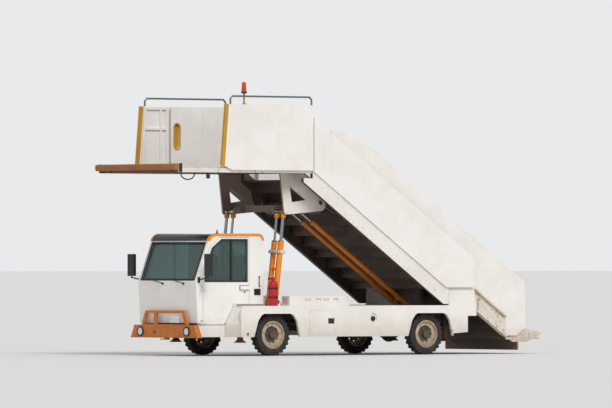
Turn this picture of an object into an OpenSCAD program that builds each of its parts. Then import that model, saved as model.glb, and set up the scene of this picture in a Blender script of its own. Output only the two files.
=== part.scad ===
// Self-propelled passenger stairs for aircraft, standing with the flight
// retracted and lowered. All lengths are in millimetres, +X is forward,
// +Y is the driver's left, +Z is up, and Z = 0 is the ground.

/* [Chassis] */
// Distance between the front and rear axles
wheelbase = 3420; // [3200:10:3600]
// Distance from the body's side to the middle of a tyre
wheel_inset = 215; // [205:5:225]
// Outer diameter of a tyre
tyre_d = 740; // [720:5:750]
// Width of a tyre
tyre_w = 205; // [180:5:215]
// Diameter of the steel rim
rim_d = 470; // [420:5:490]
// Width across the side panels of the body
body_w = 2460; // [2400:10:2500]
// Thickness of the side panels
skin_t = 40; // [25:5:45]
// Height of the side panels' lower edge
skirt_z = 335; // [320:5:360]
// Height of the deck's top face
deck_z = 880; // [870:5:890]
// Thickness of the deck plate
deck_t = 30; // [20:5:35]
// Width between the outer faces of the two frame rails
frame_w = 900; // [840:10:940]
// Height of a frame rail
frame_h = 150; // [140:5:160]
// Height of the frame rails' lower face
frame_z = 430; // [420:5:440]

/* [Cab] */
// Width of the cab
cab_w = 1720; // [1700:10:1740]
// Thickness of the cab's walls
wall_t = 40; // [30:5:50]
// Height of the cab's roof
roof_z = 2140; // [2100:10:2160]
// Height of the lower edge of the windows
belt_z = 1300; // [1280:10:1320]
// Width of the gap around each door
door_gap = 8; // [6:1:10]

/* [Flights] */
// How far the flights' outer guards stand out from the body, on each side
flight_over = 50; // [40:5:60]
// Thickness of the flights' guard panels
guard_t = 28; // [20:2:30]
// Height of the upper guards above their steps, measured upright
upper_guard_h = 910; // [850:10:950]
// Height of the lower guards above their steps, measured upright
lower_guard_h = 1075; // [1000:5:1080]
// Rise from one step to the next
step_rise = 190; // [180:1:200]
// Thickness of a tread
tread_t = 36; // [25:1:40]
// Number of steps on the lower flight
lower_steps = 14; // [12:1:14]

/* [Platform] */
// Height of the platform's floor
floor_z = 3300; // [3290:5:3320]
// How far the platform's walls stand out from the guards, on each side
wall_over = 20; // [15:1:25]
// Length of the platform's side walls at the foot
wall_len = 2030; // [1980:10:2060]
// Height of the side walls' top above the floor
wall_h = 1120; // [1050:10:1200]
// Length of the open apron in front of the walls
apron_len = 920; // [860:10:940]
// Height of the handrail above the side walls
rail_rise = 140; // [120:5:180]

/* [Lift] */
// Diameter of a lift cylinder's barrel
barrel_d = 104; // [90:2:110]
// Diameter of a lift cylinder's rod
rod_d = 56; // [50:2:60]
// Length of a lift cylinder's barrel
barrel_len = 1040; // [980:10:1060]
// Diameter of the pins at the lift cylinders' ends
pin_d = 40; // [36:2:44]

/* [Hidden] */
$fn = 48;

// Clearances
seat = 0.3;         // between pieces that rest on each other
run = 0.05;         // radial, round a pin or a rod
sink = 1;           // how deep the parts of one piece enter each other

// Widths, from the middle
side_y = body_w / 2;
side_in = side_y - skin_t;
track = body_w - 2 * wheel_inset;
flight_w = body_w + 2 * flight_over;
platform_w = flight_w + 2 * wall_over;
cab_y = cab_w / 2;
rail_y = frame_w / 2;
upper_out = flight_w / 2;
upper_in = upper_out - guard_t;
stringer_t = 72;
stringer_y = upper_in - stringer_t;
rail_gap = 20;
rail_t = 70;
rail_out = stringer_y - rail_gap;
rail_in = rail_out - rail_t;
lower_in = rail_in - guard_t;

// Places along the vehicle, from the middle of the wheelbase
axle_z = tyre_d / 2;
front_x = wheelbase / 2;
rear_x = -wheelbase / 2;
tail_x = rear_x - 840;
cab_rear_x = front_x + 35;
cab_foot_x = front_x + 1470;
wing_x = front_x + 790;
platform_rear_x = front_x - 740;
platform_front_x = platform_rear_x + wall_len;
front_tip_x = platform_front_x + apron_len;

// Lines of the flights: the height over X = 0 of lines that run at the slope.
// The lower flight turns on its pivot, and the upper one is nested under it.
pivot = [tail_x + 100, 1100];
pivot_drop = 160;
nest_gap = 80;
flight_gap = step_rise + tread_t + nest_gap;
nose_gap = 20;
upper_front_x = platform_rear_x - nose_gap;
k = (floor_z + flight_gap - pivot[1] - pivot_drop) / (upper_front_x - pivot[0]);
slope = atan(k);
going = step_rise / k;
along = [cos(slope), sin(slope)];
across = [-sin(slope), cos(slope)];
upper_nose = floor_z - k * upper_front_x;
upper_top = upper_nose + upper_guard_h;
skirt_drop = 374;
upper_low = upper_nose - skirt_drop;
lower_nose = upper_nose + flight_gap;
lower_top = lower_nose + lower_guard_h;
rail_line = [lower_nose - 240, lower_nose + 160];
scope_line = upper_low + 5;

// Tail of the lower flight, where its landing hangs over the ground
landing_z = 294;
lower_first_x = (landing_z - lower_nose) / k;
rear_tip_x = lower_first_x - 550;
x_mid = -(front_tip_x + rear_tip_x) / 2;

// Pins of the platform and of the lift
head_pin = [platform_rear_x - 424, floor_z - 600];
lift_foot = [cab_rear_x - 270, deck_z + 70];
lift_head = [platform_rear_x + 312, floor_z - 750];
lift_y = [side_y - 390, side_y - 580];
lift_vec = lift_head - lift_foot;
lift_len = norm(lift_vec);
lift_lean = atan2(-lift_vec[0], lift_vec[1]);
bracket_y = [lift_y[0] + 45, lift_y[0] + 85];
cheek_y = bracket_y[0] - 15;
cheek_t = 70;

function at(line, x) = line + k * x;
function reach(line, z) = (z - line) / k;
function band(low, high, x0, x1) =
    [[x0, at(low, x0)], [x1, at(low, x1)], [x1, at(high, x1)], [x0, at(high, x0)]];
function on_slope(p, d, n) = p + d * along + n * across;
function arc(c, r, a0, a1, n = 6) =
    [for (i = [0 : n]) c + r * [cos(a0 + (a1 - a0) * i / n), sin(a0 + (a1 - a0) * i / n)]];
function moved(points, d) = [for (p = points) p + d];

// A side view profile, extruded across the vehicle from y0 to y1
module slab(y0, y1) rotate([90, 0, 0]) translate([0, 0, -y1]) linear_extrude(y1 - y0) children();
// A front view profile, extruded along the vehicle from x0 to x1
module wall(x0, x1) translate([x0, 0, 0]) rotate([90, 0, 90]) linear_extrude(x1 - x0) children();
module both() { children(); mirror([0, 1, 0]) children(); }
module box(a, b) translate(a) cube(b - a);
// A round bar across the vehicle
module bar(p, r, y0, y1) translate([p[0], y0, p[1]]) rotate([-90, 0, 0]) cylinder(r = r, h = y1 - y0);
// A round bar from one point to the next
module rod(a, b, r) {
    v = b - a;
    translate(a) rotate([0, acos(v[2] / norm(v)), atan2(v[1], v[0])]) cylinder(r = r, h = norm(v));
}
module place() translate([x_mid, 0, 0]) children();

// Chassis: two channel rails, cross members, outriggers and jack sleeves
web_t = 10;
channel_w = 70;
rail_end_x = [tail_x + 60, cab_foot_x - 30];
cross_half = 40;
cross_z = [frame_z + 20, frame_z + 100];
cross_x = [tail_x + 110, rear_x + 510, -300, 300, front_x - 460, front_x + 540, cab_foot_x - 120];
outrigger_x = [900, -700];
post_x = [rear_x + 210, -100, front_x - 410];
post_half = 60;
jack_x = [front_x + 620, rear_x - 670];
jack_y = [side_y - 270, side_y - 470];
jack_leg = 74;
jack_wall = 10;
jack_z = [400, 800];
sleeve_half = jack_leg / 2 + jack_wall;
module sleeve() difference() {
    inner = jack_leg / 2 + seat;
    box([-sleeve_half, -sleeve_half, jack_z[0]], [sleeve_half, sleeve_half, jack_z[1]]);
    box([-inner, -inner, jack_z[0] - sink], [inner, inner, jack_z[1] - 4 * jack_wall]);
}
module chassis_frame() color("dimgray") both() {
    difference() {
        box([rail_end_x[0], rail_y - channel_w, frame_z], [rail_end_x[1], rail_y, frame_z + frame_h]);
        box([rail_end_x[0] - sink, rail_y - channel_w - sink, frame_z + web_t],
            [rail_end_x[1] + sink, rail_y - web_t, frame_z + frame_h - web_t]);
    }
    for (x = cross_x)
        box([x - cross_half, -sink, cross_z[0]], [x + cross_half, rail_y - web_t + sink, cross_z[1]]);
    for (x = outrigger_x)
        box([x - cross_half, rail_y - sink, cross_z[0]], [x + cross_half, side_in - seat, cross_z[1]]);
    for (i = [0, 1]) {
        box([jack_x[i] - cross_half, rail_y - sink, cross_z[0]],
            [jack_x[i] + cross_half, jack_y[i] - sleeve_half + sink, cross_z[1]]);
        translate([jack_x[i], jack_y[i], 0]) sleeve();
    }
    for (x = post_x)
        box([x - post_half, rail_y - channel_w, frame_z + frame_h - sink],
            [x + post_half, rail_y, deck_z - deck_t - seat]);
    box([rail_end_x[0], rail_y - channel_w, frame_z + frame_h / 2],
        [rail_end_x[0] + post_half, side_in - seat, frame_z + frame_h]);
}

// Jacks: a square leg in its sleeve, and a round foot under a cone
foot_r = 105;
foot_z = 232;
foot_t = 22;
cone_h = 45;
module jack(i) translate([jack_x[i], jack_y[i], 0]) color("chocolate") {
    box([-jack_leg / 2, -jack_leg / 2, foot_z + foot_t - sink],
        [jack_leg / 2, jack_leg / 2, jack_z[1] - 6 * jack_wall]);
    translate([0, 0, foot_z]) cylinder(r = foot_r, h = foot_t);
    translate([0, 0, foot_z + foot_t - sink]) cylinder(r1 = foot_r * 0.8, r2 = jack_leg * 0.72, h = cone_h);
}

// Deck: one plate, cut away at the rear for the telescoping cylinders
deck_rear = tail_x + 500;
well_y = 320;
well_x = deck_rear + 250;
cab_notch_x = cab_rear_x + 555;
// The wing's front leans back beside the door, from wing_foot to wing_top, each
// given at the cab's side and at the side panel
wing_foot = [wing_x + 88, wing_x];
wing_top = [wing_x - 100, wing_x - 60];
wing_t = 30;
module deck() color("ghostwhite") difference() {
    box([deck_rear, -side_in + seat, deck_z - deck_t], [wing_x, side_in - seat, deck_z]);
    box([deck_rear - sink, -well_y, deck_z - 2 * deck_t], [well_x, well_y, deck_z + sink]);
    box([cab_notch_x, -cab_y - door_gap, deck_z - 2 * deck_t],
        [wing_x + sink, cab_y + door_gap, deck_z + sink]);
    both() translate([0, 0, deck_z - 2 * deck_t]) linear_extrude(3 * deck_t)
        polygon([[wing_top[0], cab_y], [wing_top[1], side_in], [wing_x + sink, side_in], [wing_x + sink, cab_y]]);
}

// Side panels with rolled arches, the wings' fronts, a door with its latches,
// a filler recess and a socket recess
arch_top = 743;
arch_half = 300;
arch_knee = 55;
arch_slope = [125, 620];
arch_foot = [515, 490];
lip_w = 20;
lip_t = 8;
panel_door = [445, 1010, 375, 805];
seam = 5;
latch_z = [460, 610, 780];
latch_r = 16;
filler = [-415, 75, 45, 650];
socket = [[445, 560], [590, 660]];
recess = 18;
module arch(x, g) polygon([
    [x + arch_foot[0] + g, skirt_z - sink], [x + arch_half + arch_slope[0] + g, arch_slope[1]],
    [x + arch_half + arch_knee + g, arch_top - 30 + g / 2], [x + arch_half + g / 2, arch_top + g],
    [x - arch_half - g / 2, arch_top + g], [x - arch_half - arch_knee - g, arch_top - 30 + g / 2],
    [x - arch_half - arch_slope[0] - g, arch_slope[1]], [x - arch_foot[1] - g, skirt_z - sink]
]);
module side_outline() polygon([
    [wing_x, skirt_z], [wing_x + 8, deck_z - 180], [wing_x, deck_z - 60], [wing_top[1], deck_z],
    [tail_x, deck_z], [tail_x, skirt_z + 65], [tail_x + 336, skirt_z + 42], [tail_x + 336, skirt_z]
]);
module side_body() color("ghostwhite") {
    difference() {
        slab(side_in, side_y) side_outline();
        for (x = [front_x, rear_x]) slab(side_in - sink, side_y + sink) arch(x, 0);
        slab(side_y - seam, side_y + sink) difference() {
            translate([panel_door[0], panel_door[2]])
                square([panel_door[1] - panel_door[0], panel_door[3] - panel_door[2]]);
            translate([panel_door[0] + seam, panel_door[2] + seam])
                square([panel_door[1] - panel_door[0] - 2 * seam, panel_door[3] - panel_door[2] - 2 * seam]);
        }
        box([socket[0][0] + seam, side_y - recess, socket[0][1]],
            [socket[1][0], side_y + sink, socket[1][1]]);
        for (s = [-1, 1]) bar([filler[0], filler[3] + s * filler[2] / 2], filler[1], side_y - recess, side_y + sink);
        box([filler[0] - filler[1], side_y - recess, filler[3] - filler[2] / 2],
            [filler[0] + filler[1], side_y + sink, filler[3] + filler[2] / 2]);
    }
    for (x = [front_x, rear_x]) slab(side_y - sink, side_y + lip_t) intersection() {
        difference() {
            arch(x, lip_w);
            arch(x, 0);
        }
        side_outline();
    }
    for (z = latch_z) bar([panel_door[1] - 2 * latch_r, z], latch_r, side_y - sink, side_y + lip_t);
    for (z = [[skirt_z, door_foot, 0], [door_foot - sink, deck_z - deck_t - seat, 1]]) hull() for (i = [0, 1]) {
        y = i == 0 ? cab_y + 10 : side_in;
        x = [wing_foot[i], z[2] == 0 ? wing_foot[i] : wing_top[i] + 15 - 20 * i];
        slab(y, y + sink) polygon([[x[0] - wing_t, z[0]], [x[0], z[0]], [x[1], z[1]], [x[1] - wing_t, z[1]]]);
    }
    box([tail_x, side_in - 190, frame_z - 10], [tail_x + 30, side_in + sink, deck_z - 60]);
}

// Lockers on the deck, with hand slots in their sides and louvres in front
locker_in = side_in - 225;
locker_z = deck_z + 172;
locker_x = [200, 1420];
slot_x = [330, 720];
slot_size = [120, 40];
module deck_lockers() color("ghostwhite") both() difference() {
    slab(locker_in, side_in - seat) polygon([
        [locker_x[0] - 110, deck_z + seat], [locker_x[1], deck_z + seat],
        [locker_x[1], locker_z], [locker_x[0], locker_z]
    ]);
    for (x = slot_x)
        box([x, side_in - 25, deck_z + 90], [x + slot_size[0], side_in, deck_z + 90 + slot_size[1]]);
    for (i = [0 : 4]) box([locker_x[1] - recess, locker_in + 30, deck_z + 30 + 25 * i],
        [locker_x[1] + sink, side_in - 50, deck_z + 42 + 25 * i]);
}

// Engine, one block on four mounts between the rails
engine_x = [420, 1180];
engine_y = 345;
engine_z = [frame_z + 30, deck_z - deck_t - 20];
mount_half = 45;
module engine_block() color("dimgray") {
    box([engine_x[0], -engine_y, engine_z[0]], [engine_x[1], engine_y, engine_z[1]]);
    both() for (x = [engine_x[0] + 2 * mount_half, engine_x[1] - 2 * mount_half])
        box([x - mount_half, engine_y - sink, engine_z[0] + 20],
            [x + mount_half, rail_y - web_t - seat, engine_z[0] + 80]);
}

// Axles on leaf springs that hang beside the rails
king_y = track / 2 - 215;
beam_h = 90;
spindle_d = 60;
spindle_end = track / 2 + 55;
leaf_y = [rail_y + seat, rail_y + 60];
leaf_t = 12;
leaf_half = [420, 310, 200];
leaf_rise = 90;
hanger_half = 25;
function leaf(x, half, z, side) = [for (i = [-6 : 6])
    [x + side * i * half / 6, z + leaf_rise * pow(i * half / 6 / leaf_half[0], 2)]];
module springs(x) both() {
    for (i = [0 : 2]) {
        z = axle_z + beam_h / 2 - sink + (2 - i) * leaf_t;
        slab(leaf_y[0] + 5, leaf_y[1]) polygon(concat(leaf(x, leaf_half[i], z, 1),
            moved(leaf(x, leaf_half[i], z, -1), [0, leaf_t + sink / 2])));
    }
    for (s = [-1, 1]) {
        end = [x + s * leaf_half[0], axle_z + beam_h / 2 + 2.5 * leaf_t + leaf_rise];
        box([end[0] - hanger_half, leaf_y[0], end[1] - hanger_half], [end[0] + hanger_half, leaf_y[1], end[1] + 40]);
        bar(end, hanger_half + 5, leaf_y[0] + 2, leaf_y[1] + 6);
    }
}
module front_axle() color("dimgray") {
    box([front_x - beam_h / 2, -king_y, axle_z - beam_h / 2], [front_x + beam_h / 2, king_y, axle_z + beam_h / 2]);
    both() translate([front_x, king_y, 0]) {
        translate([0, 0, axle_z - beam_h / 2]) cylinder(r = beam_h / 2, h = beam_h);
        translate([0, 0, axle_z - 105]) cylinder(r = king_r, h = 210);
    }
    springs(front_x);
}
king_r = 22;
diff_r = 150;
module rear_axle() color("dimgray") {
    bar([rear_x, axle_z], beam_h / 2, -track / 2 + 115, track / 2 - 115);
    bar([rear_x, axle_z], spindle_d / 2, -spindle_end, spindle_end);
    translate([rear_x, 0, axle_z]) sphere(r = diff_r);
    both() translate([rear_x, 90, axle_z]) rotate([-90, 0, 0]) cylinder(r1 = 118, r2 = beam_h / 2 + 4, h = 170);
    springs(rear_x);
}

// Knuckles: a fork round the kingpin, and a spindle
fork_r = 42;
fork_t = 50;
fork_y = king_y + 82;
module knuckle() color("dimgray") difference() {
    union() {
        for (z = [axle_z - 105, axle_z + 55]) {
            translate([front_x, king_y, z]) cylinder(r = fork_r, h = fork_t);
            box([front_x - fork_r, king_y, z], [front_x + fork_r, fork_y, z + fork_t]);
        }
        box([front_x - fork_r, fork_y - 25, axle_z - 105], [front_x + fork_r, fork_y + 5, axle_z + 105]);
        bar([front_x, axle_z], spindle_d / 2, fork_y - 2, spindle_end);
    }
    translate([front_x, king_y, axle_z - 110]) cylinder(r = king_r + run, h = 220);
}

// A wheel about the origin, its axle along Y and its outer side at +Y
tyre_in = rim_d / 2 + 3;
lugs = 24;
lug_h = 14;
lug_w = 40;
lug_r = sqrt(pow(tyre_d / 2, 2) - pow(lug_w / 2, 2));
module tyre_shape() color("#2b2a29") {
    h = tyre_w / 2;
    r = tyre_d / 2 - lug_h;
    rotate([90, 0, 0]) rotate_extrude($fn = 72) polygon([
        [tyre_in, -h + 22], [tyre_in + 30, -h + 4], [r - 60, -h], [r - 14, -h + 12], [r, -h + 30],
        [r, h - 30], [r - 14, h - 12], [r - 60, h], [tyre_in + 30, h - 4], [tyre_in, h - 22]
    ]);
    for (i = [0 : lugs - 1], s = [-1, 1])
        rotate([0, (i + s / 4) * 360 / lugs, 0])
            box([-lug_w / 2, s > 0 ? 12 : -h + 16, r - 20], [lug_w / 2, s > 0 ? h - 16 : -12, lug_r]);
}
// Disc wheel: eight vents in the disc, and six nuts round the hub
disc_vents = [8, 142, 15];
disc_nuts = [6, 94, 13];
hub_r = 66;
module rim_shape() color("linen") {
    h = tyre_w / 2 - 22;
    r = tyre_in - seat;
    b = spindle_d / 2 + run;
    difference() {
        rotate([-90, 0, 0]) rotate_extrude($fn = 64) polygon([
            [b, -60], [hub_r, -60], [hub_r, 5], [125, 8], [160, 30], [r - 14, 30], [r - 14, -h], [r, -h],
            [r, h], [r - 14, h], [r - 14, 44], [155, 44], [120, 22], [hub_r, 20], [hub_r, 52], [b, 52]
        ]);
        for (i = [1 : disc_vents[0]]) rotate([0, i * 360 / disc_vents[0], 0])
            bar([disc_vents[1], 0], disc_vents[2], -10, h);
    }
    for (i = [1 : disc_nuts[0]]) rotate([0, i * 360 / disc_nuts[0], 0])
        translate([disc_nuts[1], 20, 0]) rotate([-90, 0, 0]) cylinder(r = disc_nuts[2], h = 18, $fn = 6);
}
// Wheels in the order front left, front right, rear left, rear right
module wheel_place(i) translate([i < 2 ? front_x : rear_x, 0, axle_z])
    mirror([0, i % 2, 0]) translate([0, track / 2, 0]) children();

// Cab: a hollow shell over the front axle, open at its doors and windows.
// Its front is one line up the screen, which an arc joins to the roof.
cab_low = 912;
cab_floor = 580;
cab_step_x = [cab_rear_x + 585, cab_rear_x + 695];
hinge_x = cab_foot_x - 118;
hinge_y = cab_y + 12;
hinge_z = [cab_floor + 23, belt_z - 103];
screen_low = [cab_foot_x + 42, belt_z];
screen_high = [cab_foot_x - 225, 2000];
screen_n = [screen_high[1] - screen_low[1], screen_low[0] - screen_high[0]] / norm(screen_high - screen_low);
roof_r = 180;
rear_r = 110;
roof_c = [(screen_n * screen_low - roof_r - screen_n[1] * (roof_z - roof_r)) / screen_n[0], roof_z - roof_r];
roof_a = atan2(screen_n[1], screen_n[0]);
function roof_line(g) = concat(arc(roof_c, roof_r - g, roof_a, 90),
    arc([cab_rear_x + rear_r, roof_z - rear_r], rear_r - g, 90, 180));
function screen_x(z) = screen_low[0] - (z - screen_low[1]) * screen_n[1] / screen_n[0];
module cab_side(g) polygon(concat([
    [cab_rear_x + g, cab_low + g], [cab_step_x[0], cab_low + g], [cab_step_x[1], cab_floor + g],
    [cab_foot_x - g, cab_floor + g], [screen_low[0] - g / screen_n[0], screen_low[1]]
], roof_line(g)));
// The door's outline grows by g on every side
door_foot = cab_floor - 25;
door_step = [wing_foot[0] + 12, wing_top[0]];
door_sill = cab_low + 3;
door_top = roof_z - 55;
door_rear = cab_rear_x + 315;
module door_side(g) polygon([
    [hinge_x - 2 + g, door_foot - g], [door_step[0] - g, door_foot - g],
    [door_step[1] - g, door_sill - g], [door_rear - g, door_sill - g],
    [door_rear - g, door_top + g], [hinge_x - 362, door_top + g], [hinge_x - 157 + g, door_top - 150],
    [hinge_x - 2 + g, belt_z + 240]
]);
window_low = belt_z + 14;
window_top = roof_z - 95;
module window_side(g) polygon([
    [hinge_x - 38 - g, window_low + g], [door_rear + 49 + g, window_low + g],
    [door_rear + 49 + g, window_top - g], [hinge_x - 398 - g, window_top - g],
    [hinge_x - 194 - g, window_top - 153 - g / 2], [hinge_x - 53 - g, window_low + 204]
]);
pane_z = [belt_z + 40, screen_high[1] - 10];
pane_y = cab_y - 70;
pane_in = [26, 18];
rear_pane = [620, belt_z + 80, belt_z + 680];
sill_w = 60;
module cab_shell() color("ghostwhite") {
    difference() {
        slab(-cab_y, cab_y) cab_side(0);
        slab(-cab_y + wall_t, cab_y - wall_t) cab_side(wall_t);
        both() slab(cab_y - wall_t - sink, cab_y + sink) door_side(door_gap);
        slab(-pane_y, pane_y) polygon([
            [screen_x(pane_z[0]) - 2 * wall_t, pane_z[0]], [screen_x(pane_z[0]) + wall_t, pane_z[0]],
            [screen_x(pane_z[1]) + wall_t, pane_z[1]], [screen_x(pane_z[1]) - 2 * wall_t, pane_z[1]]
        ]);
        box([cab_rear_x - sink, -rear_pane[0], rear_pane[1]], [cab_rear_x + wall_t + sink, rear_pane[0], rear_pane[2]]);
    }
    both() {
        box([cab_step_x[1], cab_y - sill_w, skirt_z], [cab_foot_x - 30, cab_y, cab_floor - wall_t + sink]);
        box([cab_step_x[1], cab_y - sill_w, cab_floor - wall_t], [cab_foot_x - 30, cab_y - wall_t, cab_floor + sink]);
        for (z = hinge_z) {
            translate([hinge_x, hinge_y, z - 45]) cylinder(r = hinge_r[0], h = 90);
            for (s = [-45, 25]) {
                translate([hinge_x, hinge_y, z + s]) cylinder(r = hinge_r[1], h = 20);
                box([hinge_x, cab_y - sink, z + s], [hinge_x + 60, hinge_y + hinge_r[1], z + s + 20]);
            }
        }
    }
}
hinge_r = [8, 13];

// Roof: a dark panel over the front and top, between two orange edge rails
panel_t = 6;
trim_w = 45;
trim_drop = 34;
trim_rise = 14;
trim_out = 4;
module roof_band(g0, g1) polygon(concat(roof_line(g0), [for (i = [13 : -1 : 0]) roof_line(g1)[i]]));
module roof_panel() color("#20282a") slab(-cab_y + trim_w + sink, cab_y - trim_w - sink)
    roof_band(-seat, -panel_t);
module roof_trim() color("darkorange") both() {
    slab(cab_y - trim_w, cab_y + trim_out) roof_band(-seat, -trim_rise);
    slab(cab_y + seat, cab_y + trim_out) roof_band(trim_drop, -trim_rise);
}
module cab_glass() color("teal", 0.6) {
    z = [pane_z[0] + seat, pane_z[1] - seat];
    slab(-pane_y + seat, pane_y - seat) polygon([
        [screen_x(z[0]) - pane_in[0], z[0]], [screen_x(z[0]) - pane_in[1], z[0]],
        [screen_x(z[1]) - pane_in[1], z[1]], [screen_x(z[1]) - pane_in[0], z[1]]
    ]);
    box([cab_rear_x + 16, -rear_pane[0] + seat, rear_pane[1] + seat],
        [cab_rear_x + 22, rear_pane[0] - seat, rear_pane[2] - seat]);
}

// Doors: a skin with a window, two hinge knuckles and a hollow pull handle
handle = [[12, 1165], [200, 1235]];
handle_out = 34;
divider_x = door_rear + 370;
module door() color("ghostwhite") {
    difference() {
        slab(cab_y - wall_t, cab_y) door_side(0);
        slab(cab_y - wall_t - sink, cab_y + sink) window_side(0);
        for (z = hinge_z) translate([hinge_x, hinge_y, z - 50]) cylinder(r = 2 * hinge_r[0], h = 100);
    }
    box([divider_x, cab_y - wall_t + 2, window_low - sink], [divider_x + 26, cab_y - 26, window_top + sink]);
    for (z = hinge_z) difference() {
        union() {
            translate([hinge_x, hinge_y, z - 24]) cylinder(r = hinge_r[1], h = 48);
            box([hinge_x - 60, cab_y - sink, z - 24], [hinge_x, hinge_y + hinge_r[1], z + 24]);
        }
        translate([hinge_x, hinge_y, z - 50]) cylinder(r = hinge_r[0] + run, h = 100);
    }
    difference() {
        box([door_rear + handle[0][0], cab_y - sink, handle[0][1]],
            [door_rear + handle[1][0], cab_y + handle_out, handle[1][1]]);
        box([door_rear + handle[0][0] + 20, cab_y, handle[0][1] + 15],
            [door_rear + handle[1][0] - 20, cab_y + handle_out - 12, handle[1][1] - 15]);
    }
}
module door_glass() color("teal", 0.6) slab(cab_y - 24, cab_y - 18) window_side(seat);

// Controls: a dash with its pedestal, and a steering wheel on its column
dash = [[-220, 1010], [-50, 1010], [-30, 1240], [-140, 1260], [-235, 1180]];
dash_side = 90;
wheel_c = [cab_foot_x - 350, cab_y - 460, 1290];
wheel_r = 195;
grip_r = 15;
wheel_tilt = 36;
module cab_controls() color("#3a3a3c") {
    difference() {
        slab(-cab_y + wall_t + seat, cab_y - wall_t - seat) polygon(moved(dash, [cab_foot_x, 0]));
        both() box([cab_foot_x - 280, cab_y - wall_t - dash_side, 900], [hinge_x + 10, cab_y, 1400]);
    }
    rod([wheel_c[0] + 160, wheel_c[1], wheel_c[2] - 210], wheel_c, 24);
    translate(wheel_c) rotate([0, -wheel_tilt, 0]) {
        rotate_extrude() translate([wheel_r, 0]) circle(r = grip_r, $fn = 20);
        for (a = [0, 120, 240]) rotate([0, 0, a]) box([0, -10, -6], [wheel_r, 10, 6]);
        cylinder(r = 40, h = 30, center = true);
    }
    box([cab_foot_x - 155, -120, cab_floor + wall_t + seat], [cab_foot_x - 85, 120, dash[0][1] + sink]);
}

// Seats: a box with a cushion and a leaning back
seat_x = cab_rear_x + 335;
seat_half = [230, 235, 225];
cushion = [[-30, 1090], [460, 1090], [470, 1180], [-20, 1170]];
seat_back = [[-120, 1150], [0, 1150], [-70, 1800], [-150, 1800]];
module cab_seats() color("#303236") both() translate([seat_x, cab_y - 460, 0]) {
    box([0, -seat_half[0], cab_low + wall_t + seat], [440, seat_half[0], cushion[0][1]]);
    slab(-seat_half[1], seat_half[1]) polygon(cushion);
    slab(-seat_half[2], seat_half[2]) polygon(seat_back);
}

// Front bumper: a folded box beam with a frame above it and a towing jaw
bumper_x = [cab_foot_x + 5, cab_foot_x + 110];
beam_low = [cab_y + 140, 320];
beam_high = [cab_y + 30, 545];
beam_t = 14;
lamp_y = cab_y - 170;
lamp_z = 432;
lamp_r = 82;
frame_foot = lamp_y;
frame_top = [lamp_y - 115, 800];
bar_w = 86;
post_y = [-325, -245];
tow_z = [285, 307];
tow_half = 55;
tow_r = 20.5;
module tow_jaw() difference() {
    union() {
        box([bumper_x[0] + 15, -tow_half, tow_z[0]], [bumper_x[1] + 10, tow_half, tow_z[1]]);
        translate([bumper_x[1] + 10, 0, tow_z[0]]) cylinder(r = tow_half, h = tow_z[1] - tow_z[0]);
        box([bumper_x[0] + 15, -tow_half, tow_z[0]], [bumper_x[0] + 55, tow_half, beam_low[1] + sink]);
    }
    translate([bumper_x[1] + 10, 0, tow_z[0] - sink]) cylinder(r = tow_r, h = 30);
}
module front_bumper() color("darkorange") {
    wall_x = bumper_x[1] - beam_t;
    difference() {
        wall(bumper_x[0], bumper_x[1])
            polygon([[-beam_low[0], beam_low[1]], beam_low, beam_high, [-beam_high[0], beam_high[1]]]);
        wall(bumper_x[0] - sink, wall_x) polygon([
            [-beam_low[0] + 40, beam_low[1] + beam_t], [beam_low[0] - 40, beam_low[1] + beam_t],
            [beam_high[0] - 22, beam_high[1] - beam_t], [-beam_high[0] + 22, beam_high[1] - beam_t]
        ]);
        both() translate([wall_x - 16, lamp_y, lamp_z]) rotate([0, 90, 0]) cylinder(r = lamp_r + seat, h = 40);
        box([wall_x - 6, post_y[0] - 5, lamp_z - 37], [bumper_x[1] + sink, post_y[1] + 15, lamp_z + 8]);
    }
    wall(wall_x - 36, wall_x) difference() {
        polygon([[-frame_foot, beam_high[1] - sink], [frame_foot, beam_high[1] - sink], frame_top, [-frame_top[0], frame_top[1]]]);
        polygon([
            [-frame_foot + bar_w, beam_high[1] + 15], [post_y[0], beam_high[1] + 15],
            [post_y[0], frame_top[1] - 48], [-frame_top[0] + 53, frame_top[1] - 48]
        ]);
        polygon([
            [post_y[1], beam_high[1] + 15], [frame_foot - bar_w, beam_high[1] + 15],
            [frame_top[0] - 53, frame_top[1] - 48], [post_y[1], frame_top[1] - 48]
        ]);
    }
    box([wall_x - 36, -frame_foot + 50, beam_high[1] - beam_t], [wall_x, frame_foot - 50, beam_high[1] + 15]);
    both() box([rail_end_x[1] + seat, rail_y - channel_w, frame_z], [wall_x + sink, rail_y, frame_z + 80]);
    tow_jaw();
}
module headlamps() color("white") both() translate([bumper_x[1] - 24, lamp_y, lamp_z]) rotate([0, 90, 0]) {
    cylinder(r = lamp_r, h = 34);
    cylinder(r = lamp_r * 0.8, h = 40);
}

// Mirrors: a foot on the front pillar, a bent arm and a tall head
mirror_x = cab_foot_x - 20;
mirror_y = cab_y + 290;
mirror_z = [belt_z + 80, belt_z + 105, belt_z + 495];
mirror_size = [55, 180];
arm_r = 12;
module mirrors() color("#202020") both() {
    elbow = [mirror_x, mirror_y, mirror_z[0]];
    box([mirror_x - 25, cab_y + seat, belt_z - 10], [mirror_x + 25, cab_y + 14, belt_z + 90]);
    rod([mirror_x, cab_y + 8, belt_z + 40], elbow, arm_r);
    translate(elbow) sphere(r = arm_r + 3);
    rod(elbow, [mirror_x, mirror_y, mirror_z[1] + 40], arm_r);
    box([mirror_x - mirror_size[0] / 2, mirror_y - mirror_size[1] / 2, mirror_z[1]],
        [mirror_x + mirror_size[0] / 2, mirror_y + mirror_size[1] / 2, mirror_z[2]]);
}

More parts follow.
